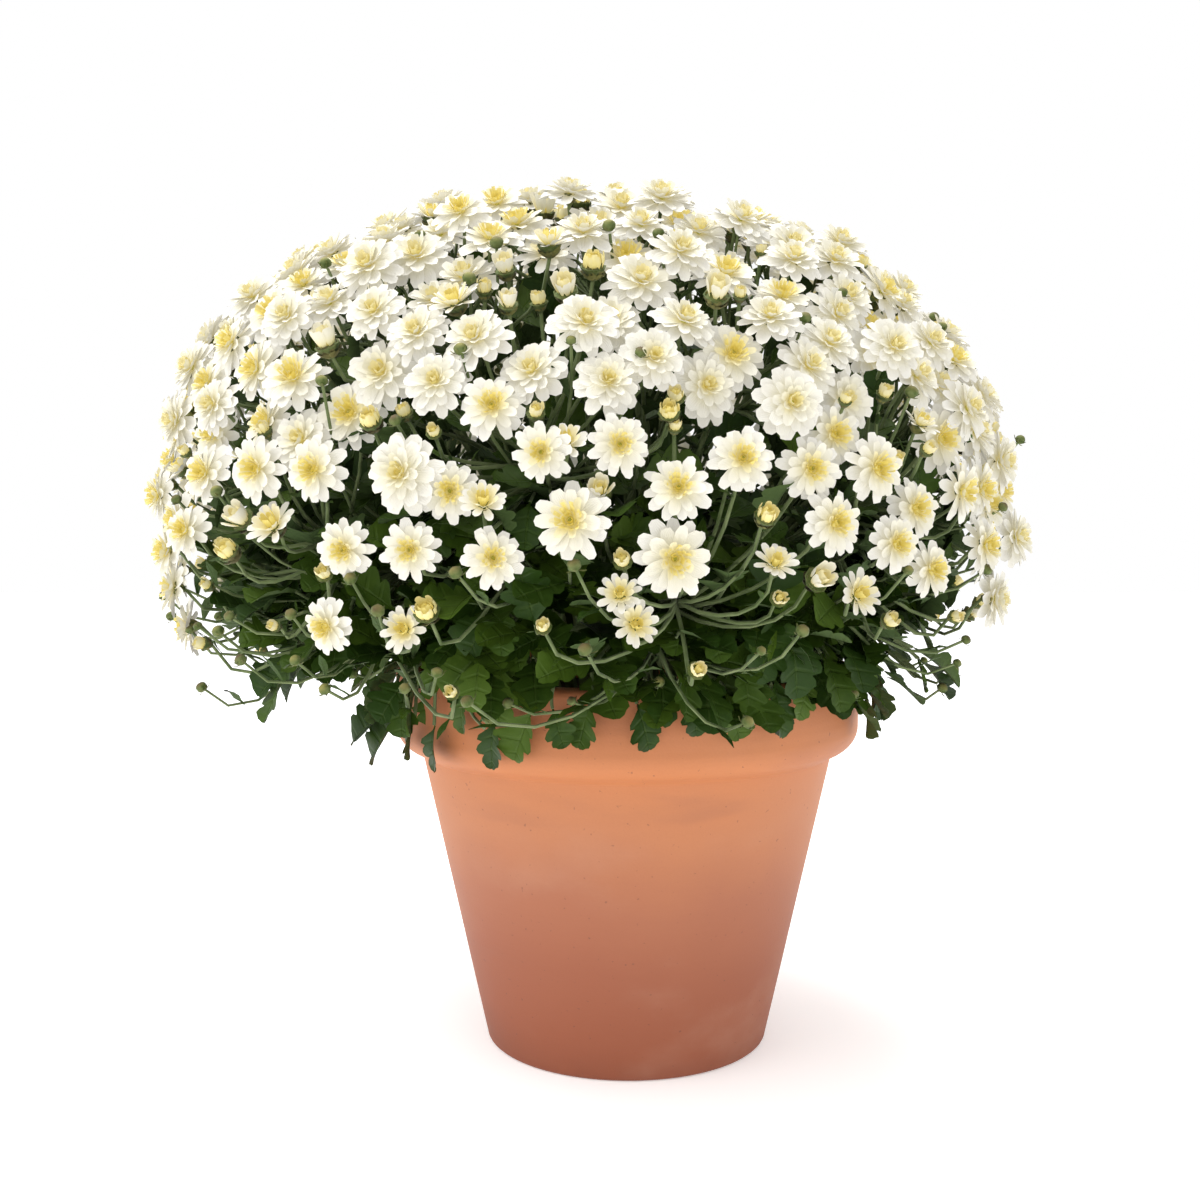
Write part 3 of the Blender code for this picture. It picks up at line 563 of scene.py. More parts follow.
def downTheDome(count, lowest, crowding):
    # Points down the dome, each a golden angle on from the last, so many to each area of it.
    steps = 400
    climbs = [math.pi / 2 - (math.pi / 2 - lowest) * i / steps for i in range(steps + 1)]
    rings = [domeRing(climb) for climb in climbs]
    sums = [0.0]
    for (near, top), (far, bottom) in zip(rings, rings[1:]):
        band = (near + far) / 2 * math.hypot(far - near, top - bottom)
        sums.append(sums[-1] + band * crowding((top + bottom) / 2))
    points, at = [], 0
    for i in range(count):
        wanted = sums[-1] * (i + 0.5) / count
        while sums[at + 1] < wanted:
            at += 1
        share = (wanted - sums[at]) / (sums[at + 1] - sums[at])
        across = rings[at][0] + (rings[at + 1][0] - rings[at][0]) * share
        height = rings[at][1] + (rings[at + 1][1] - rings[at][1]) * share
        turn = i * goldenAngle
        points.append(Vector((across * math.cos(turn), across * math.sin(turn), height)))
    return points


def headCrowding(height):
    # Closest on the dome's top, and thinly in the belt under it.
    fade = shareBetween(height, heads["sparseBelow"], heads["denseAbove"])
    low = heads["beltShare"] + (1 - heads["beltShare"]) * fade
    above = shareBetween(height, heads["denseAbove"], heads["closestAbove"])
    return low + (heads["topShare"] - 1) * above


def evenly(height):
    # The crowding of points that are as close at every height.
    return 1.0


def inFrontBelt(point):
    azimuth = math.degrees(math.atan2(point.y, point.x))
    inside = heads["beltFrom"] < azimuth < heads["beltTo"]
    return inside and point.z + dome["centre"].z < heads["beltTop"]


def tierOf(head, earlier):
    # The first layer with room between the earlier heads, or else the one with most.
    nearest = [1.0] * heads["tiers"]
    for other in earlier:
        tier = round(other["drop"] / heads["tierDrop"])
        gap = (other["point"] - head["point"]).length - other["radius"] - head["radius"]
        nearest[tier] = min(nearest[tier], gap)
    room = [min(gap, 0.0) for gap in nearest]
    return room.index(max(room))


def newHead(kind, point, radius):
    return {"kind": kind, "point": point, "radius": radius}


def anyWay(draw):
    return Vector([draw.uniform(-1, 1) for _ in range(3)])


def growHeads(draw):
    patches = [(onDome(azimuth, height), reach) for azimuth, height, reach in heads["youngPatches"]]
    grown = [newHead("open", onDome(a, h), across / 2) for a, h, across in heads["beltBlooms"]]
    grown += [newHead("young", onDome(a, h), across / 2) for a, h, across in heads["beltCups"]]
    for point in downTheDome(heads["count"], heads["lowest"], headCrowding):
        near = any((point - middle).length < reach for middle, reach in patches)
        young = draw.random() < (heads["patchShare"] if near else heads["youngShare"])
        shift = anyWay(draw) * heads["jitter"]
        radius = draw.uniform(*(heads["youngRadius"] if young else heads["openRadius"]))
        if not inFrontBelt(point):
            grown.append(newHead("young" if young else "open", point + shift, radius))
    for i, head in enumerate(grown):
        head["drop"] = tierOf(head, grown[:i]) * heads["tierDrop"]
        setHead(head, anyWay(draw) * heads["lean"])
    return grown


def setHead(head, lean):
    outward = domeNormal(head["point"])
    head["home"] = dome["centre"] + head["point"] - outward * head["drop"]
    lift = heads["lift" if head["kind"] == "open" else "cupLift"]
    head["facing"] = (outward + lean + up * lift + heads["light"]).normalized()


def growSmallCups(grown, draw):
    # Each goes where it has most room, of a few places tried.
    for point in downTheDome(heads["smallCups"], heads["smallCupsLowest"], evenly):
        best, widest = None, -1.0
        for _ in range(heads["smallSpots"]):
            spot = ontoDome(point + anyWay(draw) * heads["smallShift"])
            cup = newHead("small", spot, draw.uniform(*heads["smallRadius"]))
            cup["drop"] = draw.uniform(*heads["smallSink"])
            setHead(cup, anyWay(draw) * heads["lean"])
            room = min((cup["home"] - other["home"]).length - other["radius"] for other in grown)
            if room > widest:
                best, widest = cup, room
        grown.append(best)


def ontoDome(point):
    # Pushes a point that is near the dome's surface out to it, along the ray from its centre.
    power = dome["power"]
    out = (point.xy.length / dome["radius"]) ** power + (abs(point.z) / dome["height"]) ** power
    return point * out ** (-1 / power)


sprays = {
    "count": 24,
    "lowest": math.radians(-8),
    "hubReach": 0.58,  # how far out from the heart a stem branches, as a share of the way
    "hubLength": 0.066,
    "soilShare": 0.45,  # how far from the pot's axis a stem stands in the soil, as a share of its hub's
    "stemTurn": 0.42,
    "holeDepth": 0.020,
    "stemRadii": (0.0032, 0.0024),
    "hubRadii": (0.0022, 0.0012),
    "stalkRadii": (0.00105, 0.00085),
    "widestStalk": 0.080,
    "stalkShares": (0.94, 0.86),  # where the topmost stalk leaves the hub, and how much lower the last
    "hubHandles": (0.33, 0.66),
    "inSoil": (0.0, 0.3, 0.7, 1.0),
}


class Spray:
    # One leafy stem and the bunch of heads on it.
    def __init__(self, number, point):
        self.number = f"{number:02d}"
        self.tip = dome["centre"] + point
        self.axis = (self.tip - dome["heart"]).normalized()
        self.hub = dome["heart"].lerp(self.tip, sprays["hubReach"])
        share = sprays["soilShare"]
        self.foot = Vector((self.hub.x * share, self.hub.y * share, soil["top"] - sprays["holeDepth"]))
        self.collar = self.foot + up * sprays["holeDepth"]
        self.bend = self.hub - self.axis * sprays["stemTurn"] * (self.hub - self.foot).length
        self.heads = []
        self.buds = []
        self.twigs = []
        self.leaves = []

    def along(self, share):
        # A point of the stem, from the soil at 0 to the hub at 1.
        return self.collar.lerp(self.bend, share).lerp(self.bend.lerp(self.hub, share), share)

    def stalkRoot(self, target):
        # The stalks of the heads furthest from the spray's axis leave it lowest.
        ray = target - self.hub
        across = (ray - self.axis * ray.dot(self.axis)).length
        top, fall = sprays["stalkShares"]
        share = top - fall * min(1.0, across / sprays["widestStalk"])
        return self.hub + self.axis * share * sprays["hubLength"]


def growSprays():
    tips = downTheDome(sprays["count"], sprays["lowest"], evenly)
    return [Spray(number, tip) for number, tip in enumerate(tips, start=1)]


def nearestSpray(plant, point):
    ray = (point - dome["heart"]).normalized()
    return max(plant, key=lambda spray: spray.axis.dot(ray))


def frameTowards(origin, axis, spin=0.0):
    # A place at origin whose +Z looks along axis.
    turn = axis.to_track_quat("Z", "Y").to_matrix().to_4x4()
    return Matrix.Translation(origin) @ turn @ Matrix.Rotation(spin, 4, "Z")


def leafFrame(base, ahead, face):
    # A place at base whose +X looks ahead and whose +Z is as near to face as that leaves it.
    side = face.cross(ahead).normalized()
    turn = Matrix((ahead, side, ahead.cross(side))).transposed()
    return Matrix.Translation(base) @ turn.to_4x4()


def template():
    bm = bmesh.new()
    bm.loops.layers.uv.new("blade")
    bm.verts.layers.float.new("warm")
    bm.verts.layers.float.new("tone")
    return bm


def addBlade(bm, rows, columns, thick, shape, place, finish=0):
    # A thin closed blade: a grid bent by shape(along, across), doubled under, with its rims joined.
    # Its UV map has the upper side in its lower half and the under side above that.
    blade = bm.loops.layers.uv["blade"]
    warm = bm.verts.layers.float["warm"]
    top = bmesh.ops.create_grid(bm, x_segments=rows, y_segments=columns, size=1, calc_uvs=True)["verts"]
    faces = {f for v in top for f in v.link_faces}
    inner = {v for v in top if len(v.link_faces) == 4}
    for v in top:
        v.co, v[warm] = shape((v.co.x + 1) / 2, v.co.y)
    for loop in (loop for f in faces for loop in f.loops):
        loop[blade].uv.y *= 0.5
    for f in faces:
        f.material_index = finish
        f.smooth = True
    copied = bmesh.ops.duplicate(bm, geom=list(faces))
    under = [f for f in copied["geom"] if isinstance(f, bmesh.types.BMFace)]
    for v in inner:
        copied["vert_map"][v].co.z -= thick
    bmesh.ops.reverse_faces(bm, faces=under)
    for loop in (loop for f in under for loop in f.loops):
        loop[blade].uv.y += 0.5
    lower = [copied["vert_map"][v] for v in top]
    bmesh.ops.transform(bm, matrix=place, verts=top + lower)
    rims = [v for v in top if v not in inner] + [copied["vert_map"][v] for v in top if v not in inner]
    bmesh.ops.remove_doubles(bm, verts=rims, dist=thick * petal["rimMerge"])


def keepTemplate(bm, name):
    # Splits a template into triangles and keeps it as a mesh, to be laid out many times.
    bmesh.ops.triangulate(bm, faces=bm.faces)
    mesh = bpy.data.meshes.new(name)
    bm.to_mesh(mesh)
    bm.free()
    return mesh


def layOut(bm, mesh, place, tone=0.5, finish=None):
    # Adds a copy of a template to a piece, at place.
    verts, faces = len(bm.verts), len(bm.faces)
    bm.from_mesh(mesh)
    bm.verts.ensure_lookup_table()
    fresh = bm.verts[verts:]
    bmesh.ops.transform(bm, matrix=place, verts=fresh)
    layer = bm.verts.layers.float["tone"]
    for v in fresh:
        v[layer] = tone
    if finish is not None:
        bm.faces.ensure_lookup_table()
        for f in bm.faces[faces:]:
            f.material_index = finish


petal = {
    "stations": (0.0, 0.42, 0.80, 1.0),  # how far along the rows of a long petal lie
    "halves": (0.30, 0.86, 1.00, 0.66),  # half widths there, as shares of the widest
    "shortStations": (0.0, 0.62, 1.0),
    "shortHalves": (0.42, 1.00, 0.62),
    "thick": 0.020,
    "rimMerge": 0.02,  # how near a blade's two rims have to be to be joined, in thicknesses
    "channel": 0.30,
    "tipPush": 0.07,
    "baseGlow": 0.42,
    "scoop": 0.35,
    "floretFoot": 0.55,  # a floret's width at its foot, as a share of that at its tip
    "paleTip": 0.16,
    "cloudScale": 120.0,
    "cloudShare": 0.10,
    "veins": 14.0,
    "veinDepth": 0.0003,
}

bloom = {
    "fullVariants": 6,
    "goldenVariants": 5,
    # For each row of petals: how many, length, rise in degrees, half width, curl, warmth, height.
    "full": (
        (12, 0.97, -3, 0.215, -0.12, 0.00, 0.00),
        (12, 0.86, 10, 0.200, -0.06, 0.03, 0.04),
        (10, 0.68, 23, 0.170, 0.04, 0.08, 0.08),
        (8, 0.50, 38, 0.135, 0.16, 0.18, 0.11),
        (7, 0.36, 54, 0.100, 0.32, 0.38, 0.14),
    ),
    "golden": (
        (12, 0.96, -1, 0.195, -0.10, 0.00, 0.00),
        (11, 0.79, 14, 0.175, -0.02, 0.08, 0.04),
        (8, 0.55, 30, 0.130, 0.14, 0.28, 0.08),
    ),
    # For each ring of florets: how many, length, rise in degrees, warmth.
    "fullFlorets": ((11, 0.27, 58, 0.66), (7, 0.17, 74, 0.80)),
    "goldenFlorets": ((14, 0.36, 46, 0.70), (11, 0.27, 58, 0.82), (7, 0.17, 74, 0.90)),
    "goldenWidest": 0.0152,  # a bloom low down with a smaller radius is always golden-centred
    "floretHalf": 0.056,
    "floretLengths": (0.8, 1.1),
    "floretStart": 0.50,
    "floretThick": 0.5,
    "floretHeight": 0.12,
    "start": 0.04,
    "button": 0.10,
    "buttonHeight": 0.06,
    "buttonWarmth": 1.0,
    # How petals of one row differ, as shares, and how far the middles of their tips stand out.
    "lengths": (0.90, 1.03),
    "widths": (0.85, 1.10),
    "curls": (0.5, 1.4),
    "notches": (1.0, 0.7, 0.2),
    "stray": (7, 9, 16),  # the most that a petal strays in yaw, rise and roll, in degrees
    # The petals' colour, from white at 0 to the green-yellow middle at 1.
    "warmth": (
        (0.00, (0.600, 0.584, 0.535)),
        (0.20, (0.605, 0.575, 0.445)),
        (0.48, (0.63, 0.545, 0.22)),
        (0.78, (0.62, 0.50, 0.10)),
        (1.00, (0.36, 0.35, 0.06)),
    ),
    "glow": 0.30,  # painted glow: light the petals give off themselves, in place of the light that comes through them
}

youngCup = {
    "variants": 6,
    "smallVariants": 5,
    # For each row of petals: how many, length, rise in degrees, half width, curl, warmth, ring.
    "tight": (
        (12, 0.78, 62, 0.22, 0.50, 0.42, 0.58),
        (10, 0.66, 70, 0.18, 0.55, 0.58, 0.40),
        (7, 0.52, 78, 0.14, 0.60, 0.70, 0.22),
    ),
    "tulip": (
        (7, 1.25, 64, 0.34, 0.12, 0.14, 0.46),
        (6, 1.10, 71, 0.28, 0.30, 0.36, 0.32),
        (5, 0.70, 78, 0.16, 0.50, 0.66, 0.18),
    ),
    "spread": (
        (11, 1.45, 22, 0.30, -0.06, 0.02, 0.32),
        (10, 1.10, 40, 0.24, 0.12, 0.26, 0.32),
        (8, 0.75, 60, 0.16, 0.40, 0.62, 0.26),
    ),
    "small": (
        (10, 0.92, 64, 0.28, 0.44, 0.34, 0.50),
        (7, 0.78, 74, 0.24, 0.50, 0.56, 0.24),
    ),
    "florets": ((7, 0.42, 70, 0.80),),
    "floretHalf": 0.10,
    "floretHeight": 0.20,
    "button": 0.30,
    "buttonHeight": 0.10,
    "buttonWarmth": 0.66,
    "lengths": (0.85, 1.08),
    "notch": 0.8,
    "rowHeights": (-0.05, 0.1),  # of the outermost row, and from each row to the next
    "thicker": 1.6,
}


def petalShape(length, half, curl, warmth, notch, short=False):
    # Round-tipped and channelled, warmer towards its base.
    stations = petal["shortStations" if short else "stations"]
    halves = petal["shortHalves" if short else "halves"]
    last = len(halves) - 1

    def shape(along, across):
        at = round(along * last)
        wide = half * halves[at]
        reach = stations[at] * length
        if at == last and abs(across) < 0.5:
            reach += petal["tipPush"] * length * notch
        rise = curl * length * stations[at] ** 2 + petal["channel"] * wide * across**2
        glow = warmth + (1 - warmth) * petal["baseGlow"] * (1 - stations[at]) ** 2
        return Vector((reach, across * wide, rise)), glow

    return shape


def floretShape(length, half, warmth):
    # A short scoop, paler at its tip.
    def shape(along, across):
        wide = half * (petal["floretFoot"] + (1 - petal["floretFoot"]) * along)
        rise = petal["scoop"] * length * along + petal["channel"] * wide * across**2
        return Vector((length * along, across * wide, rise)), warmth - petal["paleTip"] * along

    return shape


def strayTurn(draw, turn, rise):
    yaw, tip, roll = (math.radians(most) * draw.uniform(-1, 1) for most in bloom["stray"])
    spin = Matrix.Rotation(turn + yaw, 4, "Z")
    return spin, Matrix.Rotation(-math.radians(rise) - tip, 4, "Y") @ Matrix.Rotation(roll, 4, "X")


def addFlorets(bm, rings, half, base, draw):
    # The tight whorl of small incurved florets in the middle.
    for count, length, rise, warmth in rings:
        offset = draw.random()
        for i in range(count):
            spin, tip = strayTurn(draw, math.tau * (i + offset) / count, rise)
            shape = floretShape(length * draw.uniform(*bloom["floretLengths"]), half, warmth)
            start = Matrix.Translation((length * bloom["floretStart"], 0, base))
            addBlade(bm, 1, 2, half * bloom["floretThick"], shape, spin @ start @ tip)


def addButton(bm, sizes):
    # The green-yellow pit under the florets.
    ball = {"radius": sizes["button"], "matrix": Matrix.Translation((0, 0, sizes["buttonHeight"]))}
    for v in bmesh.ops.create_icosphere(bm, subdivisions=1, **ball)["verts"]:
        v[bm.verts.layers.float["warm"]] = sizes["buttonWarmth"]


def makeBloom(name, rows, florets, draw):
    # A double bloom of radius 1 that looks along +Z.
    bm = template()
    for row, (count, length, rise, half, curl, warmth, height) in enumerate(rows):
        short = row > 1
        for i in range(count):
            spin, tip = strayTurn(draw, math.tau * (i + 0.5 * row) / count, rise)
            size = length * draw.uniform(*bloom["lengths"])
            wide = half * draw.uniform(*bloom["widths"])
            notch = draw.choice(bloom["notches"])
            bend = curl * draw.uniform(*bloom["curls"])
            shape = petalShape(size, wide, bend, warmth, notch, short)
            start = Matrix.Translation((bloom["start"], 0, height))
            addBlade(bm, 2 if short else 3, 2, petal["thick"], shape, spin @ start @ tip)
    addButton(bm, bloom)
    addFlorets(bm, florets, bloom["floretHalf"], bloom["floretHeight"], draw)
    return keepTemplate(bm, name)


def makeCup(name, rows, draw, small=False):
    # A half-open head of radius about 1: petals that still stand round the middle.
    bm = template()
    lowest, step = youngCup["rowHeights"]
    thick = petal["thick"] * youngCup["thicker"]
    for row, (count, length, rise, half, curl, warmth, ring) in enumerate(rows):
        for i in range(count):
            spin, tip = strayTurn(draw, math.tau * (i + 0.5 * row) / count, rise)
            size = length * draw.uniform(*youngCup["lengths"])
            shape = petalShape(size, half, curl, warmth, youngCup["notch"], small)
            start = Matrix.Translation((ring, 0, lowest + step * row))
            addBlade(bm, 2 if small else 3, 2, thick, shape, spin @ start @ tip)
    addButton(bm, youngCup)
    if not small:
        addFlorets(bm, youngCup["florets"], youngCup["floretHalf"], youngCup["floretHeight"], draw)
    return keepTemplate(bm, name)


calyx = {
    "bracts": 8,
    "width": 0.30,
    "depth": 0.34,
    "cupWidth": 0.92,
    "cupDepth": 0.85,
    "sides": 8,
    "foot": 0.30,  # the radii of its foot and mouth, in its own radii
    "mouth": 0.92,
    # For the bracts of the first row, and from each row to the next: rise in degrees, length, ring, drop.
    "rise": (62, -20),
    "length": (0.85, -0.15),
    "ring": (0.52, -0.14),
    "drop": (0.72, 0.2),
    "half": 0.30,
    "curl": 0.12,
    "tipWarmth": 0.5,
    "thick": 0.05,
    "shades": ((0.35, (0.058, 0.090, 0.018)), (0.62, (0.125, 0.150, 0.050))),
    "tipShades": ((0.40, (0.26, 0.23, 0.07)), (0.62, (0.10, 0.055, 0.030))),
    "stemShades": ((0.35, (0.080, 0.112, 0.038)), (0.65, (0.165, 0.205, 0.088))),
}


def inRow(what, row):
    first, step = calyx[what]
    return first + step * row


def makeCalyx(name, wide, deep, rows, draw):
    # A cup of overlapped bracts of radius wide, its mouth at 0 and its foot at -deep.
    bm = template()
    cup = {"radius1": wide * calyx["foot"], "radius2": wide * calyx["mouth"], "depth": deep}
    place = Matrix.Translation((0, 0, -deep / 2))
    bmesh.ops.create_cone(bm, cap_ends=True, segments=calyx["sides"], matrix=place, **cup)
    half, thick = wide * calyx["half"], wide * calyx["thick"]
    for row in range(rows):
        length = deep * inRow("length", row)
        start = Matrix.Translation((wide * inRow("ring", row), 0, -deep * inRow("drop", row)))
        for i in range(calyx["bracts"]):
            turn = math.tau * (i + 0.5 * row) / calyx["bracts"]
            spin, tip = strayTurn(draw, turn, inRow("rise", row))
            shape = petalShape(length, half, calyx["curl"], calyx["tipWarmth"], 1.0, True)
            addBlade(bm, 2, 2, thick, shape, spin @ start @ tip)
    return keepTemplate(bm, name)


bud = {
    "radius": 0.0028,
    "sizes": (0.75, 1.12),
    "variants": 4,
    "segments": (10, 7),
    "ribs": 5,
    "ribDepth": 0.07,
    "ribTwist": 2.2,
    "squash": 0.88,
    "crown": (0.35, 1.0),  # from what height to what its crown turns warm
    "crownWarmth": (0.7, 1.0),
    "bractlets": 5,
    "bractletRise": (-15, 50),
    "bractletLength": (0.9, 1.5),
    "bractletHalf": 0.16,
    "bractletCurl": 0.35,
    "bractletWarmth": 0.2,
    "bractletThick": 0.06,
    "bractletFoot": (0.35, 0, -0.80),
}


def makeBud(name, draw):
    # A ribbed globe of shut bracts, radius 1, with a few thin bractlets under it.
    bm = template()
    warm = bm.verts.layers.float["warm"]
    around, upwards = bud["segments"]
    globe = bmesh.ops.create_uvsphere(bm, u_segments=around, v_segments=upwards, radius=1)["verts"]
    for v in globe:
        wave = math.cos(bud["ribs"] * math.atan2(v.co.y, v.co.x) + bud["ribTwist"] * v.co.z)
        rib = 1 + bud["ribDepth"] * wave
        v[warm] = shareBetween(v.co.z, *bud["crown"]) * draw.uniform(*bud["crownWarmth"])
        v.co = Vector((v.co.x * rib, v.co.y * rib, v.co.z * bud["squash"]))
    for f in bm.faces:
        f.smooth = True
    foot = Matrix.Translation(bud["bractletFoot"])
    half, curl, warmth = bud["bractletHalf"], bud["bractletCurl"], bud["bractletWarmth"]
    for i in range(bud["bractlets"]):
        turn = math.tau * (i + draw.random() * 0.5) / bud["bractlets"]
        spin, tip = strayTurn(draw, turn, draw.uniform(*bud["bractletRise"]))
        shape = petalShape(draw.uniform(*bud["bractletLength"]), half, curl, warmth, 1.0, True)
        addBlade(bm, 2, 2, bud["bractletThick"], shape, spin @ foot @ tip)
    return keepTemplate(bm, name)


leaf = {
    # From base to tip: how far along the rib, and half the width, as shares of the length.
    "outline": (
        (0.00, 0.022),
        (0.10, 0.040),
        (0.18, 0.16),
        (0.25, 0.30),
        (0.34, 0.33),
        (0.40, 0.22),
        (0.45, 0.34),
        (0.52, 0.42),
        (0.61, 0.39),
        (0.66, 0.25),
        (0.72, 0.30),
        (0.80, 0.30),
        (0.86, 0.22),
        (0.93, 0.16),
        (0.99, 0.05),
    ),
    "sweep": 0.36,  # how far the lobes point ahead, for each unit of half width
    "thick": 0.018,
    "variants": 5,
    # How the variants differ: arch along the rib, fold, twist, wave, and the width of each side.
    "arch": (0.05, 0.30),
    "fold": (0.05, 0.40),
    "twist": (-0.5, 0.5),
    "wave": (0.0, 0.05),
    "sides": (0.85, 1.12),
    "ripples": 9,
    # The narrow leaflets.
    "narrowRows": 4,
    "narrowHalf": 0.13,
    "narrowEnds": (0.03, 0.97),
    "narrowPower": 0.8,
    "narrowSweep": 0.25,
    # Colours of the upper side, dark to young, of the veins and of the under side.
    "shades": ((0.25, (0.018, 0.044, 0.004)), (0.95, (0.060, 0.108, 0.010))),
    "vein": (0.070, 0.116, 0.022, 1),
    "under": (0.056, 0.088, 0.030, 1),
    "veinShare": 0.28,
    "underShare": 0.8,
    "ribWidth": 0.10,
    "branches": 3.6,
    "branchSlant": 0.1,
    "branchWidth": (0.03, 0.13),
    "branchShare": 0.8,
    "mottleScale": 210.0,
    "mottleShare": 0.5,
    "roughness": (0.44, 0.28, 0.10),  # of the upper side, and what the under side and the mottle add
    "bumpDepth": 0.0005,
}


def leafShape(draw, narrow):
    # A lobed blade, folded a little along its rib, arched, twisted and waved.
    rows = len(leaf["outline"]) - 1
    arch, fold, twist, wave = (draw.uniform(*leaf[what]) for what in ("arch", "fold", "twist", "wave"))
    phase = draw.uniform(0, math.tau)
    sides = [draw.uniform(*leaf["sides"]) for _ in range(2)]
    sweep = leaf["sweep"] * (leaf["narrowSweep"] if narrow else 1)
    low, high = leaf["narrowEnds"]

    def shape(along, across):
        middle, half = leaf["outline"][round(along * rows)]
        if narrow:
            bow = math.sin(math.pi * min(high, max(low, along)))
            half = leaf["narrowHalf"] * bow ** leaf["narrowPower"]
        side = half * across * sides[across > 0]
        ahead = middle + sweep * abs(side)
        ripple = wave * abs(across) * math.sin(leaf["ripples"] * along + phase)
        rise = fold * abs(side) - arch * ahead**2 + ripple
        roll = twist * ahead
        return Vector((ahead, side * math.cos(roll), rise + side * math.sin(roll))), 0.0

    return shape


def makeLeaf(name, narrow, draw):
    bm = template()
    rows = leaf["narrowRows"] if narrow else len(leaf["outline"]) - 1
    addBlade(bm, rows, 2, leaf["thick"], leafShape(draw, narrow), Matrix())
    return keepTemplate(bm, name)


def several(make, count, name, *about):
    return [make(f"{name}{i}", *about) for i in range(count)]


def makeTemplates(draw):
    made = {"young": [], "leaf": [], "narrow": []}
    for kind in ("full", "golden"):
        about = (bloom[kind], bloom[f"{kind}Florets"], draw)
        made[kind] = several(makeBloom, bloom[f"{kind}Variants"], kind, *about)
    kinds = ("tight", "tulip", "spread")
    for i in range(youngCup["variants"]):
        made["young"].append(makeCup(f"young{i}", youngCup[kinds[i % len(kinds)]], draw))
    made["small"] = several(makeCup, youngCup["smallVariants"], "small", youngCup["small"], draw, True)
    made["bud"] = several(makeBud, bud["variants"], "bud", draw)
    for i in range(leaf["variants"]):
        made["leaf"].append(makeLeaf(f"leaf{i}", False, draw))
        made["narrow"].append(makeLeaf(f"narrow{i}", True, draw))
    made["calyx"] = makeCalyx("calyx", calyx["width"], calyx["depth"], 1, draw)
    made["cupCalyx"] = makeCalyx("cupCalyx", calyx["cupWidth"], calyx["cupDepth"], 2, draw)
    made["smallCalyx"] = makeCalyx("smallCalyx", calyx["cupWidth"], calyx["cupDepth"], 1, draw)
    print("templates: blooms, cups, buds and leaves")
    return made


def petalFinish():
    silk = Finish("petalWhite", Roughness=0.62, Specular_IOR_Level=0.30, Emission_Strength=bloom["glow"])
    warm = silk.attribute("warm")
    where = silk.place()
    clouds = silk.cloud(where, petal["cloudScale"])
    colour = silk.ramp(warm + (clouds - 0.5) * petal["cloudShare"], bloom["warmth"])
    silk.show("Base Color", colour)
    # Painted glow: the petals give off light in their own colour, standing in for the light that comes
    # through them and lifting their shade.
    silk.show("Emission Color", colour)
    blade = silk.node("ShaderNodeUVMap", {"uv_map": "blade"}, {})
    lines = (silk.split(blade, "Y") * petal["veins"]).fraction()
    silk.bump((lines - 0.5).absolute(), petal["veinDepth"], strength=0.5)
    return silk.material


def stemFinish():
    skin = Finish("stemSage", Roughness=0.75, Specular_IOR_Level=0.16, Sheen_Weight=0.08)
    where = skin.place()
    skin.show("Base Color", skin.ramp(skin.cloud(where, scale=85.0), calyx["stemShades"]))
    skin.bump(skin.cloud(where, scale=1400.0, detail=1.0), depth=0.0002, strength=0.6)
    return skin.material


def budFinish():
    skin = Finish("budGreen", Roughness=0.70, Specular_IOR_Level=0.18, Sheen_Weight=0.06)
    where = skin.place()
    base = skin.ramp(skin.cloud(where, scale=330.0, detail=2.0), calyx["shades"])
    tips = skin.ramp(skin.cloud(where, scale=60.0, detail=1.0), calyx["tipShades"])
    skin.show("Base Color", skin.blend(skin.attribute("warm"), base, tips))
    skin.bump(skin.cloud(where, scale=700.0, detail=2.0), depth=0.0003, strength=0.6)
    return skin.material


def leafFinish():
    skin = Finish("leafGreen", Specular_IOR_Level=0.16)
    blade = skin.node("ShaderNodeUVMap", {"uv_map": "blade"}, {})
    # From 0 to 1 across the upper side, and from 1 to 2 across the under side.
    along, side = skin.split(blade, "X"), skin.split(blade, "Y") * 2.0
    across = (side.fraction() - 0.5).absolute() * 2.0
    under = side > 1.0
    where = skin.place()
    rib = 1 - across.between(0.0, leaf["ribWidth"])
    lines = (along * leaf["branches"] - across * leaf["branchSlant"] + 0.5).fraction()
    branch = 1 - (lines - 0.5).absolute().between(*leaf["branchWidth"])
    veins = rib + branch * (1 - across) * leaf["branchShare"]
    mottle = skin.cloud(where, leaf["mottleScale"], detail=4.0)
    tone = skin.attribute("tone") + (mottle - 0.5) * leaf["mottleShare"]
    colour = skin.ramp(tone, leaf["shades"])
    colour = skin.blend(veins * leaf["veinShare"], colour, leaf["vein"])
    colour = skin.blend(under * leaf["underShare"], colour, leaf["under"])
    skin.show("Base Color", colour)
    shiny, matt, uneven = leaf["roughness"]
    skin.show("Roughness", shiny + under * matt + mottle * uneven)
    skin.bump(mottle * 0.7 - veins, leaf["bumpDepth"], strength=0.7)
    return skin.material


class Cane:
    # A bundle of round stalks on smooth curves, made a mesh once all are drawn.
    def __init__(self, name):
        self.curve = bpy.data.curves.new(name, "CURVE")
        self.curve.dimensions = "3D"
        self.curve.bevel_depth = 1.0
        self.curve.bevel_resolution = 1
        self.curve.resolution_u = 7
        self.curve.use_fill_caps = True

    def draw(self, start, firstHandle, lastHandle, end, radii):
        line = self.curve.splines.new("BEZIER")
        line.bezier_points.add(1)
        first, last = line.bezier_points
        first.co, first.handle_right, first.handle_left = start, firstHandle, start * 2 - firstHandle
        last.co, last.handle_left, last.handle_right = end, lastHandle, end * 2 - lastHandle
        first.radius, last.radius = radii

    def mesh(self):
        owner = linkNew(self.curve.name, self.curve)
        graph = bpy.context.evaluated_depsgraph_get()
        made = bpy.data.meshes.new_from_object(owner.evaluated_get(graph))
        bpy.data.objects.remove(owner)
        return made


def bezier(start, first, last, end, share):
    a, b, c = start.lerp(first, share), first.lerp(last, share), last.lerp(end, share)
    return a.lerp(b, share).lerp(b.lerp(c, share), share)


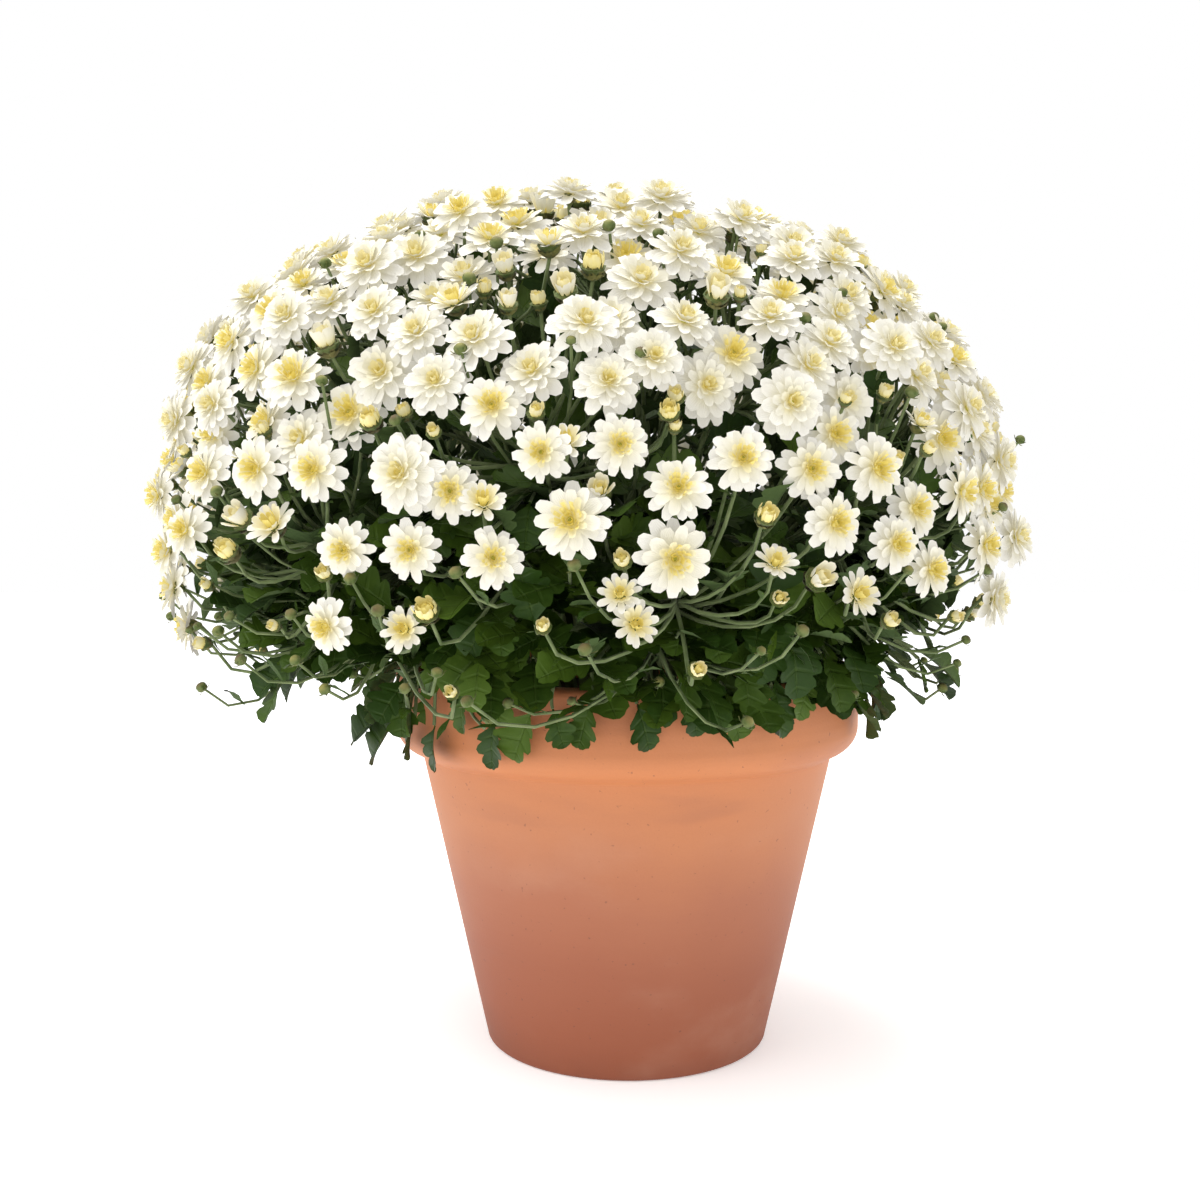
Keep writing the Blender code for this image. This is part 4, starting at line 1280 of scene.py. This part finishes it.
stalks = {
    "leaveAlong": 0.55,  # how far a stalk runs along the spray before it turns, as a share of its length
    "arrive": 0.42,
    "bow": 0.10,
    # How much a stalk comes up from below at its head, and sags as it leaves: high up, then low down.
    "rise": (0.6, 1.5),
    "sag": (0.0, 0.55),
    "lowFrom": 0.35,  # the heights between which the first gives way to the second
    "lowestAt": 0.27,
    "leafletLength": (0.006, 0.012),
    "leafletAt": (0.45, 0.85),
    "leafletStray": 0.9,
    "leafletTone": (0.3, 0.8),
    "goldenShare": 0.25,
    "goldenBelow": 0.335,
    "beltGoldenShare": 0.6,
    "bloomDepth": (0.12, 0.32),  # from a head's home to its seat, and on to the stalk's end, in radii
    "cupDepth": (0.85, 0.80),
}


def kindOf(head, draw):
    if head["kind"] != "open":
        return head["kind"]
    low = head["home"].z < stalks["goldenBelow"]
    share = stalks["beltGoldenShare"] if low else stalks["goldenShare"]
    sure = head["radius"] < bloom["goldenWidest"] and low
    return "golden" if sure or draw.random() < share else "full"


def byHeight(end, what):
    high, low = stalks[what]
    return low + (high - low) * shareBetween(end.z, stalks["lowestAt"], stalks["lowFrom"])


def pick(templates, draw):
    return templates[draw.randrange(len(templates))]


def addHead(head, root, spray, petals, greens, cane, shapes, draw):
    # A bloom or cup with its calyx, its stalk and a leaflet on that.
    kind = kindOf(head, draw)
    radius, facing = head["radius"], head["facing"]
    depth, neck = stalks["bloomDepth" if head["kind"] == "open" else "cupDepth"]
    seat = head["home"] - facing * radius * depth
    place = frameTowards(seat, facing, draw.uniform(0, math.tau)) @ Matrix.Scale(radius, 4)
    layOut(petals, pick(shapes[kind], draw), place)
    green = {"young": "cupCalyx", "small": "smallCalyx"}.get(kind, "calyx")
    layOut(greens, shapes[green], place, finish=1)
    end = seat - facing * radius * neck
    reach = (end - root).length
    ahead = spray.axis - up * byHeight(end, "sag")
    first = root + (ahead + anyWay(draw) * stalks["bow"]) * reach * stalks["leaveAlong"]
    rise = (facing + up * byHeight(end, "rise")).normalized()
    last = end - (rise + anyWay(draw) * stalks["bow"]) * reach * stalks["arrive"]
    cane.draw(root, first, last, end, sprays["stalkRadii"])
    out = (facing + anyWay(draw) * stalks["leafletStray"]).normalized()
    at = bezier(root, first, last, end, draw.uniform(*stalks["leafletAt"]))
    size = draw.uniform(*stalks["leafletLength"])
    place = leafFrame(at, out, (up + facing).normalized()) @ Matrix.Scale(size, 4)
    leaflet = pick(shapes["narrow"], draw)
    layOut(greens, leaflet, place, draw.uniform(*stalks["leafletTone"]), finish=2)


def makeSpray(spray, shapes, finishes, draw):
    # One spray: its petals as one piece, and its stalks with their calyxes as another.
    petals, greens = template(), template()
    cane = Cane("stalks")
    top = spray.hub + spray.axis * sprays["hubLength"]
    handles = [spray.hub.lerp(top, share) for share in sprays["hubHandles"]]
    cane.draw(spray.hub, *handles, top, sprays["hubRadii"])
    for head in spray.heads:
        addHead(head, spray.stalkRoot(head["home"]), spray, petals, greens, cane, shapes, draw)
    layOut(greens, cane.mesh(), Matrix(), finish=0)
    whites = meshObject(f"petals_{spray.number}", petals, [finishes["petal"]])
    greenery = [finishes["stem"], finishes["bud"], finishes["leaf"]]
    canes = meshObject(f"stalks_{spray.number}", greens, greenery)
    for piece, slot in ((whites, "petal_white"), (canes, "leaf_green")):
        piece.data.set_sharp_from_angle(angle=crispEdge)
        handOver(piece, slot, f"flower_spray_{spray.number}")


foliage = {
    "twigs": 190,
    "twigsLowest": math.radians(-30),
    "twigInset": (0.026, 0.062),
    "beltTop": 0.0,
    "beltInset": 0.4,
    "crowdBetween": (-0.01, 0.06),  # the heights between which twigs thin out
    "crowdMore": 2.2,
    "twigRoots": (0.30, 0.95),
    "twigLeaves": 7,
    # A twig's handles, as shares of its length, and how much each is turned up.
    "leave": 0.35,
    "leaveLift": 0.3,
    "arrive": 0.3,
    "arriveLift": 0.4,
    "hangingTwigs": 84,
    "hangingReach": (0.122, 0.172),
    "hangingHeight": (0.210, 0.300),
    "hangingSpread": 0.25,  # how much further out a twig ends, for each metre that it ends higher
    "hangingRoots": (0.25, 0.6),
    "hangingLeaves": 7,
    "droop": (0.035, 0.020),  # how far inwards and upwards from a twig's end its last handle lies
    "lowSpray": 0.55,
    "overRim": 0.246,
    "leafLength": (0.020, 0.032),
    "firstLeaf": 0.42,
    "spread": 0.95,
    "leafStray": 0.35,
    "faceOut": 0.7,
    "fall": (-0.5, 0.5),
    "hangingFall": (0.1, 1.3),
    "nextTo": 0.02,  # the share of a twig on both sides of a leaf that gives its direction there
    "twigRadii": (0.0014, 0.0008),
    "beltBuds": 44,
    "domeBuds": 50,
    "budSpots": 1200,
    "budsLowest": math.radians(-34),
    "beltBudsBelow": -0.012,
    "budRoots": (0.72, 1.0),
    "budRise": 1.5,
    "budRadii": (0.0010, 0.0007),
    "budStray": 0.3,
    "budHandle": 0.4,
    # The leaflets on a bud's stalk: where they are, and their shortest and what the stalk adds.
    "budLeafletsAt": (0.5, 0.78),
    "budLeaflet": 0.005,
    "budLeafletShare": 0.15,
    "budLeafletSizes": (0.6, 1.0),
    # Buds that stand out past the leaves: azimuth in degrees, height, how far from the dome's axis.
    "strayBuds": (
        (176, 0.232, 0.236),
        (186, 0.246, 0.228),
        (178, 0.264, 0.238),
        (170, 0.332, 0.238),
        (188, 0.197, 0.208),
        (4, 0.268, 0.232),
        (-3, 0.330, 0.236),
        (-150, 0.236, 0.214),
        (-145, 0.210, 0.141),
        (-104, 0.203, 0.143),
        (-108, 0.195, 0.141),
        (-112, 0.220, 0.140),
        (-89, 0.225, 0.149),
        (-92, 0.205, 0.147),
        (-77, 0.214, 0.153),
        (-73, 0.216, 0.155),
        (-49, 0.219, 0.164),
        (-36, 0.216, 0.167),
        (-39, 0.203, 0.167),
    ),
}

# The single large leaves round the rim: those that hang in front, and the rest of the skirt.
skirt = {
    "count": 34,
    "step": 5,
    "reach": (0.122, 0.184),
    "height": (0.210, 0.250),
    "dip": (0, 70),
    "turn": 0.5,
    "length": (0.024, 0.032),
    "roots": (0.55, 0.9),
    "collarCount": 84,
    "collarReach": (0.120, 0.142),
    "collarHeight": (0.206, 0.224),
    "collarDip": (22, 78),
    "elbowReach": 0.131,
    "elbowRise": 0.003,
    "petiole": 0.0009,
    # A petiole's handles: at its root, on both sides of its elbow, at its leaf, and without an elbow.
    "leave": 0.4,
    "beforeElbow": (0.008, 0.002),
    "afterElbow": (0.003, 0.001),
    "arrive": 0.004,
    "leaveLift": 0.006,
    "arriveStraight": 0.012,
    # Azimuth in degrees, height and distance from the pot's axis, of the base and then of the tip.
    "rimLeaves": (
        (-136, 0.186, 0.134, -137, 0.163, 0.137),
        (-143, 0.186, 0.135, -147, 0.167, 0.138),
        (-153, 0.188, 0.138, -161, 0.176, 0.157),
        (-149, 0.186, 0.136, -158, 0.166, 0.150),
        (-119, 0.192, 0.134, -120, 0.169, 0.138),
        (-110, 0.198, 0.134, -115, 0.175, 0.139),
        (-106, 0.199, 0.134, -103, 0.183, 0.141),
        (-98, 0.203, 0.135, -101, 0.182, 0.139),
        (-127, 0.205, 0.134, -128, 0.184, 0.137),
        (-89, 0.202, 0.134, -86, 0.181, 0.137),
        (-77, 0.208, 0.134, -77, 0.187, 0.138),
        (-71, 0.207, 0.134, -67, 0.185, 0.138),
        (-60, 0.207, 0.134, -57, 0.186, 0.139),
        (-51, 0.212, 0.136, -54, 0.192, 0.140),
        (-43, 0.213, 0.136, -46, 0.194, 0.142),
        (-27, 0.199, 0.135, -23, 0.175, 0.140),
        (-20, 0.215, 0.159, -22, 0.199, 0.166),
        (-21, 0.221, 0.157, -17, 0.206, 0.184),
    ),
}


def twigCrowding(height):
    # Twigs are closest where the leaves show, under the dense blooms.
    return 1.0 + foliage["crowdMore"] * (1 - shareBetween(height, *foliage["crowdBetween"]))


def growTwigs(plant, draw):
    # Twigs that fan out from the stems and end just inside the blooms.
    for point in downTheDome(foliage["twigs"], foliage["twigsLowest"], twigCrowding):
        near, far = foliage["twigInset"]
        deep = 1 if point.z > foliage["beltTop"] else foliage["beltInset"]
        inset = near + (far - near) * draw.random() * deep
        end = dome["centre"] + point - domeNormal(point) * inset
        spray = nearestSpray(plant, end)
        root = spray.along(draw.uniform(*foliage["twigRoots"]))
        reach = (end - root).length
        ahead = (end - root).normalized() + up * foliage["leaveLift"]
        first = root + ahead * reach * foliage["leave"]
        last = end - (spray.axis + up * foliage["arriveLift"]).normalized() * reach * foliage["arrive"]
        spray.twigs.append((root, first, last, end, foliage["twigLeaves"], False))


def lowSprayTowards(plant, out):
    low = [spray for spray in plant if spray.axis.z < foliage["lowSpray"]]
    return max(low, key=lambda spray: spray.axis.xy.normalized().dot(out.xy.normalized()))


def outwards(azimuth, dip=0.0):
    # The direction at this azimuth, so many radians below level.
    level = math.cos(dip)
    return Vector((level * math.cos(azimuth), level * math.sin(azimuth), -math.sin(dip)))


def roundPot(azimuth, height, reach):
    return outwards(math.radians(azimuth)) * reach + up * height


def growHangingTwigs(plant, draw):
    # Twigs that lie out over the rim and droop.
    near, far = foliage["hangingReach"]
    inwards, upwards = foliage["droop"]
    for i in range(foliage["hangingTwigs"]):
        out = outwards(i * goldenAngle)
        share = (i * skirt["step"] % foliage["hangingTwigs"]) / foliage["hangingTwigs"]
        end = out * (near + (far - near) * share)
        height = draw.uniform(*foliage["hangingHeight"])
        end += Vector((dome["centre"].x * share, 0, height))
        end += out * (height - foliage["hangingHeight"][0]) * foliage["hangingSpread"]
        spray = lowSprayTowards(plant, out)
        root = spray.along(draw.uniform(*foliage["hangingRoots"]))
        first = root.lerp(end, foliage["leave"])
        first.z = max(foliage["overRim"], height)
        last = end - out * inwards + up * upwards
        spray.twigs.append((root, first, last, end, foliage["hangingLeaves"], True))


def hangingLeaf(base, azimuth, dips, draw):
    # Its base, its tip and the way it faces.
    turn = azimuth + draw.uniform(-skirt["turn"], skirt["turn"])
    dip = math.radians(draw.uniform(*dips))
    tip = base + outwards(turn, dip) * draw.uniform(*skirt["length"])
    return base, tip, outwards(azimuth) + up + anyWay(draw) * skirt["turn"]


def growSkirt(plant, draw):
    # The large leaves on the rim as they were seen, then those round it, and a close collar.
    near, far = skirt["reach"]
    wishes = []
    for azimuth, height, reach, tipAzimuth, tipHeight, tipReach in skirt["rimLeaves"]:
        tip = roundPot(tipAzimuth, tipHeight, tipReach)
        wishes.append((roundPot(azimuth, height, reach), tip, outwards(math.radians(azimuth)) + up))
    for i in range(skirt["count"]):
        azimuth = i * goldenAngle
        share = (i * skirt["step"] % skirt["count"]) / skirt["count"]
        base = outwards(azimuth) * (near + (far - near) * share)
        base += Vector((dome["centre"].x * share, 0, draw.uniform(*skirt["height"])))
        wishes.append(hangingLeaf(base, azimuth, skirt["dip"], draw))
    for i in range(skirt["collarCount"]):
        azimuth = i * goldenAngle + draw.uniform(-skirt["turn"], skirt["turn"])
        base = outwards(azimuth) * draw.uniform(*skirt["collarReach"])
        base.z = draw.uniform(*skirt["collarHeight"])
        wishes.append(hangingLeaf(base, azimuth, skirt["collarDip"], draw))
    for base, tip, face in wishes:
        lowSprayTowards(plant, base).leaves.append((base, tip, face))


def placeBuds(plant, draw):
    sites = [onDome(azimuth, height, reach) for azimuth, height, reach in foliage["strayBuds"]]
    spots = downTheDome(foliage["budSpots"], foliage["budsLowest"], evenly)
    draw.shuffle(spots)
    sites += [p for p in spots if p.z < foliage["beltBudsBelow"]][:foliage["beltBuds"]]
    sites += [p for p in spots if p.z > foliage["beltBudsBelow"]][:foliage["domeBuds"]]
    for site in sites:
        point = dome["centre"] + site
        nearestSpray(plant, point).buds.append(point)


def addTwig(bm, twig, shapes, draw):
    # Leaves set alternately along a twig, the last one at its end.
    *curve, count, hanging = twig
    beside, stray = foliage["nextTo"], foliage["leafStray"]
    for i in range(count):
        share = foliage["firstLeaf"] + (1 - foliage["firstLeaf"]) * i / (count - 1)
        at = bezier(*curve, share)
        ahead = bezier(*curve, min(1.0, share + beside)) - bezier(*curve, share - beside)
        ahead.normalize()
        side = ahead.cross(up).normalized() * (1 if i % 2 else -1)
        fall = draw.uniform(*foliage["hangingFall" if hanging else "fall"])
        spread = 0.0 if i == count - 1 else foliage["spread"]
        out = (ahead + side * spread + anyWay(draw) * stray - up * fall).normalized()
        outer = Vector((at.x, at.y, 0)).normalized() * foliage["faceOut"]
        face = (up + outer + anyWay(draw) * stray).normalized()
        place = leafFrame(at, out, face) @ Matrix.Scale(draw.uniform(*foliage["leafLength"]), 4)
        layOut(bm, pick(shapes["leaf"], draw), place, draw.random(), finish=0)


def addSkirtLeaf(bm, spray, leafAt, cane, shapes, draw):
    # A large leaf, on a petiole that bends over the rim if the leaf hangs lower than it.
    base, tip, face = leafAt
    ahead = (tip - base).normalized()
    root = spray.along(draw.uniform(*skirt["roots"]))
    radii = (skirt["petiole"], skirt["petiole"])
    over = pot["rimTop"] + skirt["elbowRise"]
    if base.z < over:
        out = outwards(math.atan2(base.y, base.x))
        elbow = out * skirt["elbowReach"] + up * over
        back, rise = skirt["beforeElbow"]
        onwards, fall = skirt["afterElbow"]
        first = root.lerp(elbow, skirt["leave"])
        cane.draw(root, first, elbow - out * back + up * rise, elbow, radii)
        last = base - ahead * skirt["arrive"]
        cane.draw(elbow, elbow + out * onwards - up * fall, last, base, radii)
    else:
        first = root.lerp(base, skirt["leave"]) + up * skirt["leaveLift"]
        cane.draw(root, first, base - ahead * skirt["arriveStraight"], base, radii)
    place = leafFrame(base, ahead, face) @ Matrix.Scale((tip - base).length, 4)
    layOut(bm, pick(shapes["leaf"], draw), place, draw.random(), finish=0)


def addBud(bm, spray, point, cane, shapes, draw):
    # A bud on its stalk, with two narrow leaflets.
    root = spray.along(draw.uniform(*foliage["budRoots"]))
    reach = (point - root).length
    stray, handle = foliage["budStray"], foliage["budHandle"]
    facing = (point - root).normalized() + up * foliage["budRise"] + anyWay(draw) * stray
    facing.normalize()
    ahead = spray.axis - up * byHeight(point, "sag") + anyWay(draw) * stray
    first = root + ahead * reach * handle
    last = point - facing * reach * handle
    cane.draw(root, first, last, point, foliage["budRadii"])
    size = bud["radius"] * draw.uniform(*bud["sizes"])
    place = frameTowards(point, facing, draw.uniform(0, math.tau)) @ Matrix.Scale(size, 4)
    layOut(bm, pick(shapes["bud"], draw), place, finish=2)
    for share in foliage["budLeafletsAt"]:
        out = (facing + anyWay(draw)).normalized()
        longer = foliage["budLeafletShare"] * reach * draw.uniform(*foliage["budLeafletSizes"])
        size = foliage["budLeaflet"] + longer
        place = leafFrame(bezier(root, first, last, point, share), out, up) @ Matrix.Scale(size, 4)
        layOut(bm, pick(shapes["narrow"], draw), place, draw.random(), finish=0)


def makeFoliage(spray, shapes, finishes, draw):
    # One leafy stem as a piece: stem, twigs, leaves and buds.
    bm = template()
    cane = Cane("stems")
    # These two handles make the curve that along() follows.
    bend = [spray.collar.lerp(spray.bend, 2 / 3), spray.hub.lerp(spray.bend, 2 / 3)]
    cane.draw(spray.collar, *bend, spray.hub, sprays["stemRadii"])
    thick = sprays["stemRadii"][0]
    inSoil = [spray.foot.lerp(spray.collar, share) for share in sprays["inSoil"]]
    cane.draw(*inSoil, (thick, thick))
    for twig in spray.twigs:
        cane.draw(*twig[:4], foliage["twigRadii"])
        addTwig(bm, twig, shapes, draw)
    for leafAt in spray.leaves:
        addSkirtLeaf(bm, spray, leafAt, cane, shapes, draw)
    for point in spray.buds:
        addBud(bm, spray, point, cane, shapes, draw)
    layOut(bm, cane.mesh(), Matrix(), finish=1)
    greenery = [finishes["leaf"], finishes["stem"], finishes["bud"]]
    piece = meshObject(f"foliage_{spray.number}", bm, greenery)
    piece.data.set_sharp_from_angle(angle=crispEdge)
    handOver(piece, "leaf_green", f"leafy_stem_{spray.number}")


def makePlant():
    plant = growSprays()
    grown = growHeads(random.Random(7))
    growSmallCups(grown, random.Random(14))
    for head in grown:
        nearestSpray(plant, head["home"]).heads.append(head)
    growTwigs(plant, random.Random(15))
    growHangingTwigs(plant, random.Random(10))
    growSkirt(plant, random.Random(8))
    placeBuds(plant, random.Random(9))
    shapes = makeTemplates(random.Random(12))
    finishes = {"petal": petalFinish(), "stem": stemFinish(), "bud": budFinish(), "leaf": leafFinish()}
    draw = random.Random(13)
    for spray in plant:
        makeSpray(spray, shapes, finishes, draw)
        makeFoliage(spray, shapes, finishes, draw)
    print(f"plant: {len(grown)} heads on {len(plant)} sprays")


makePlant()
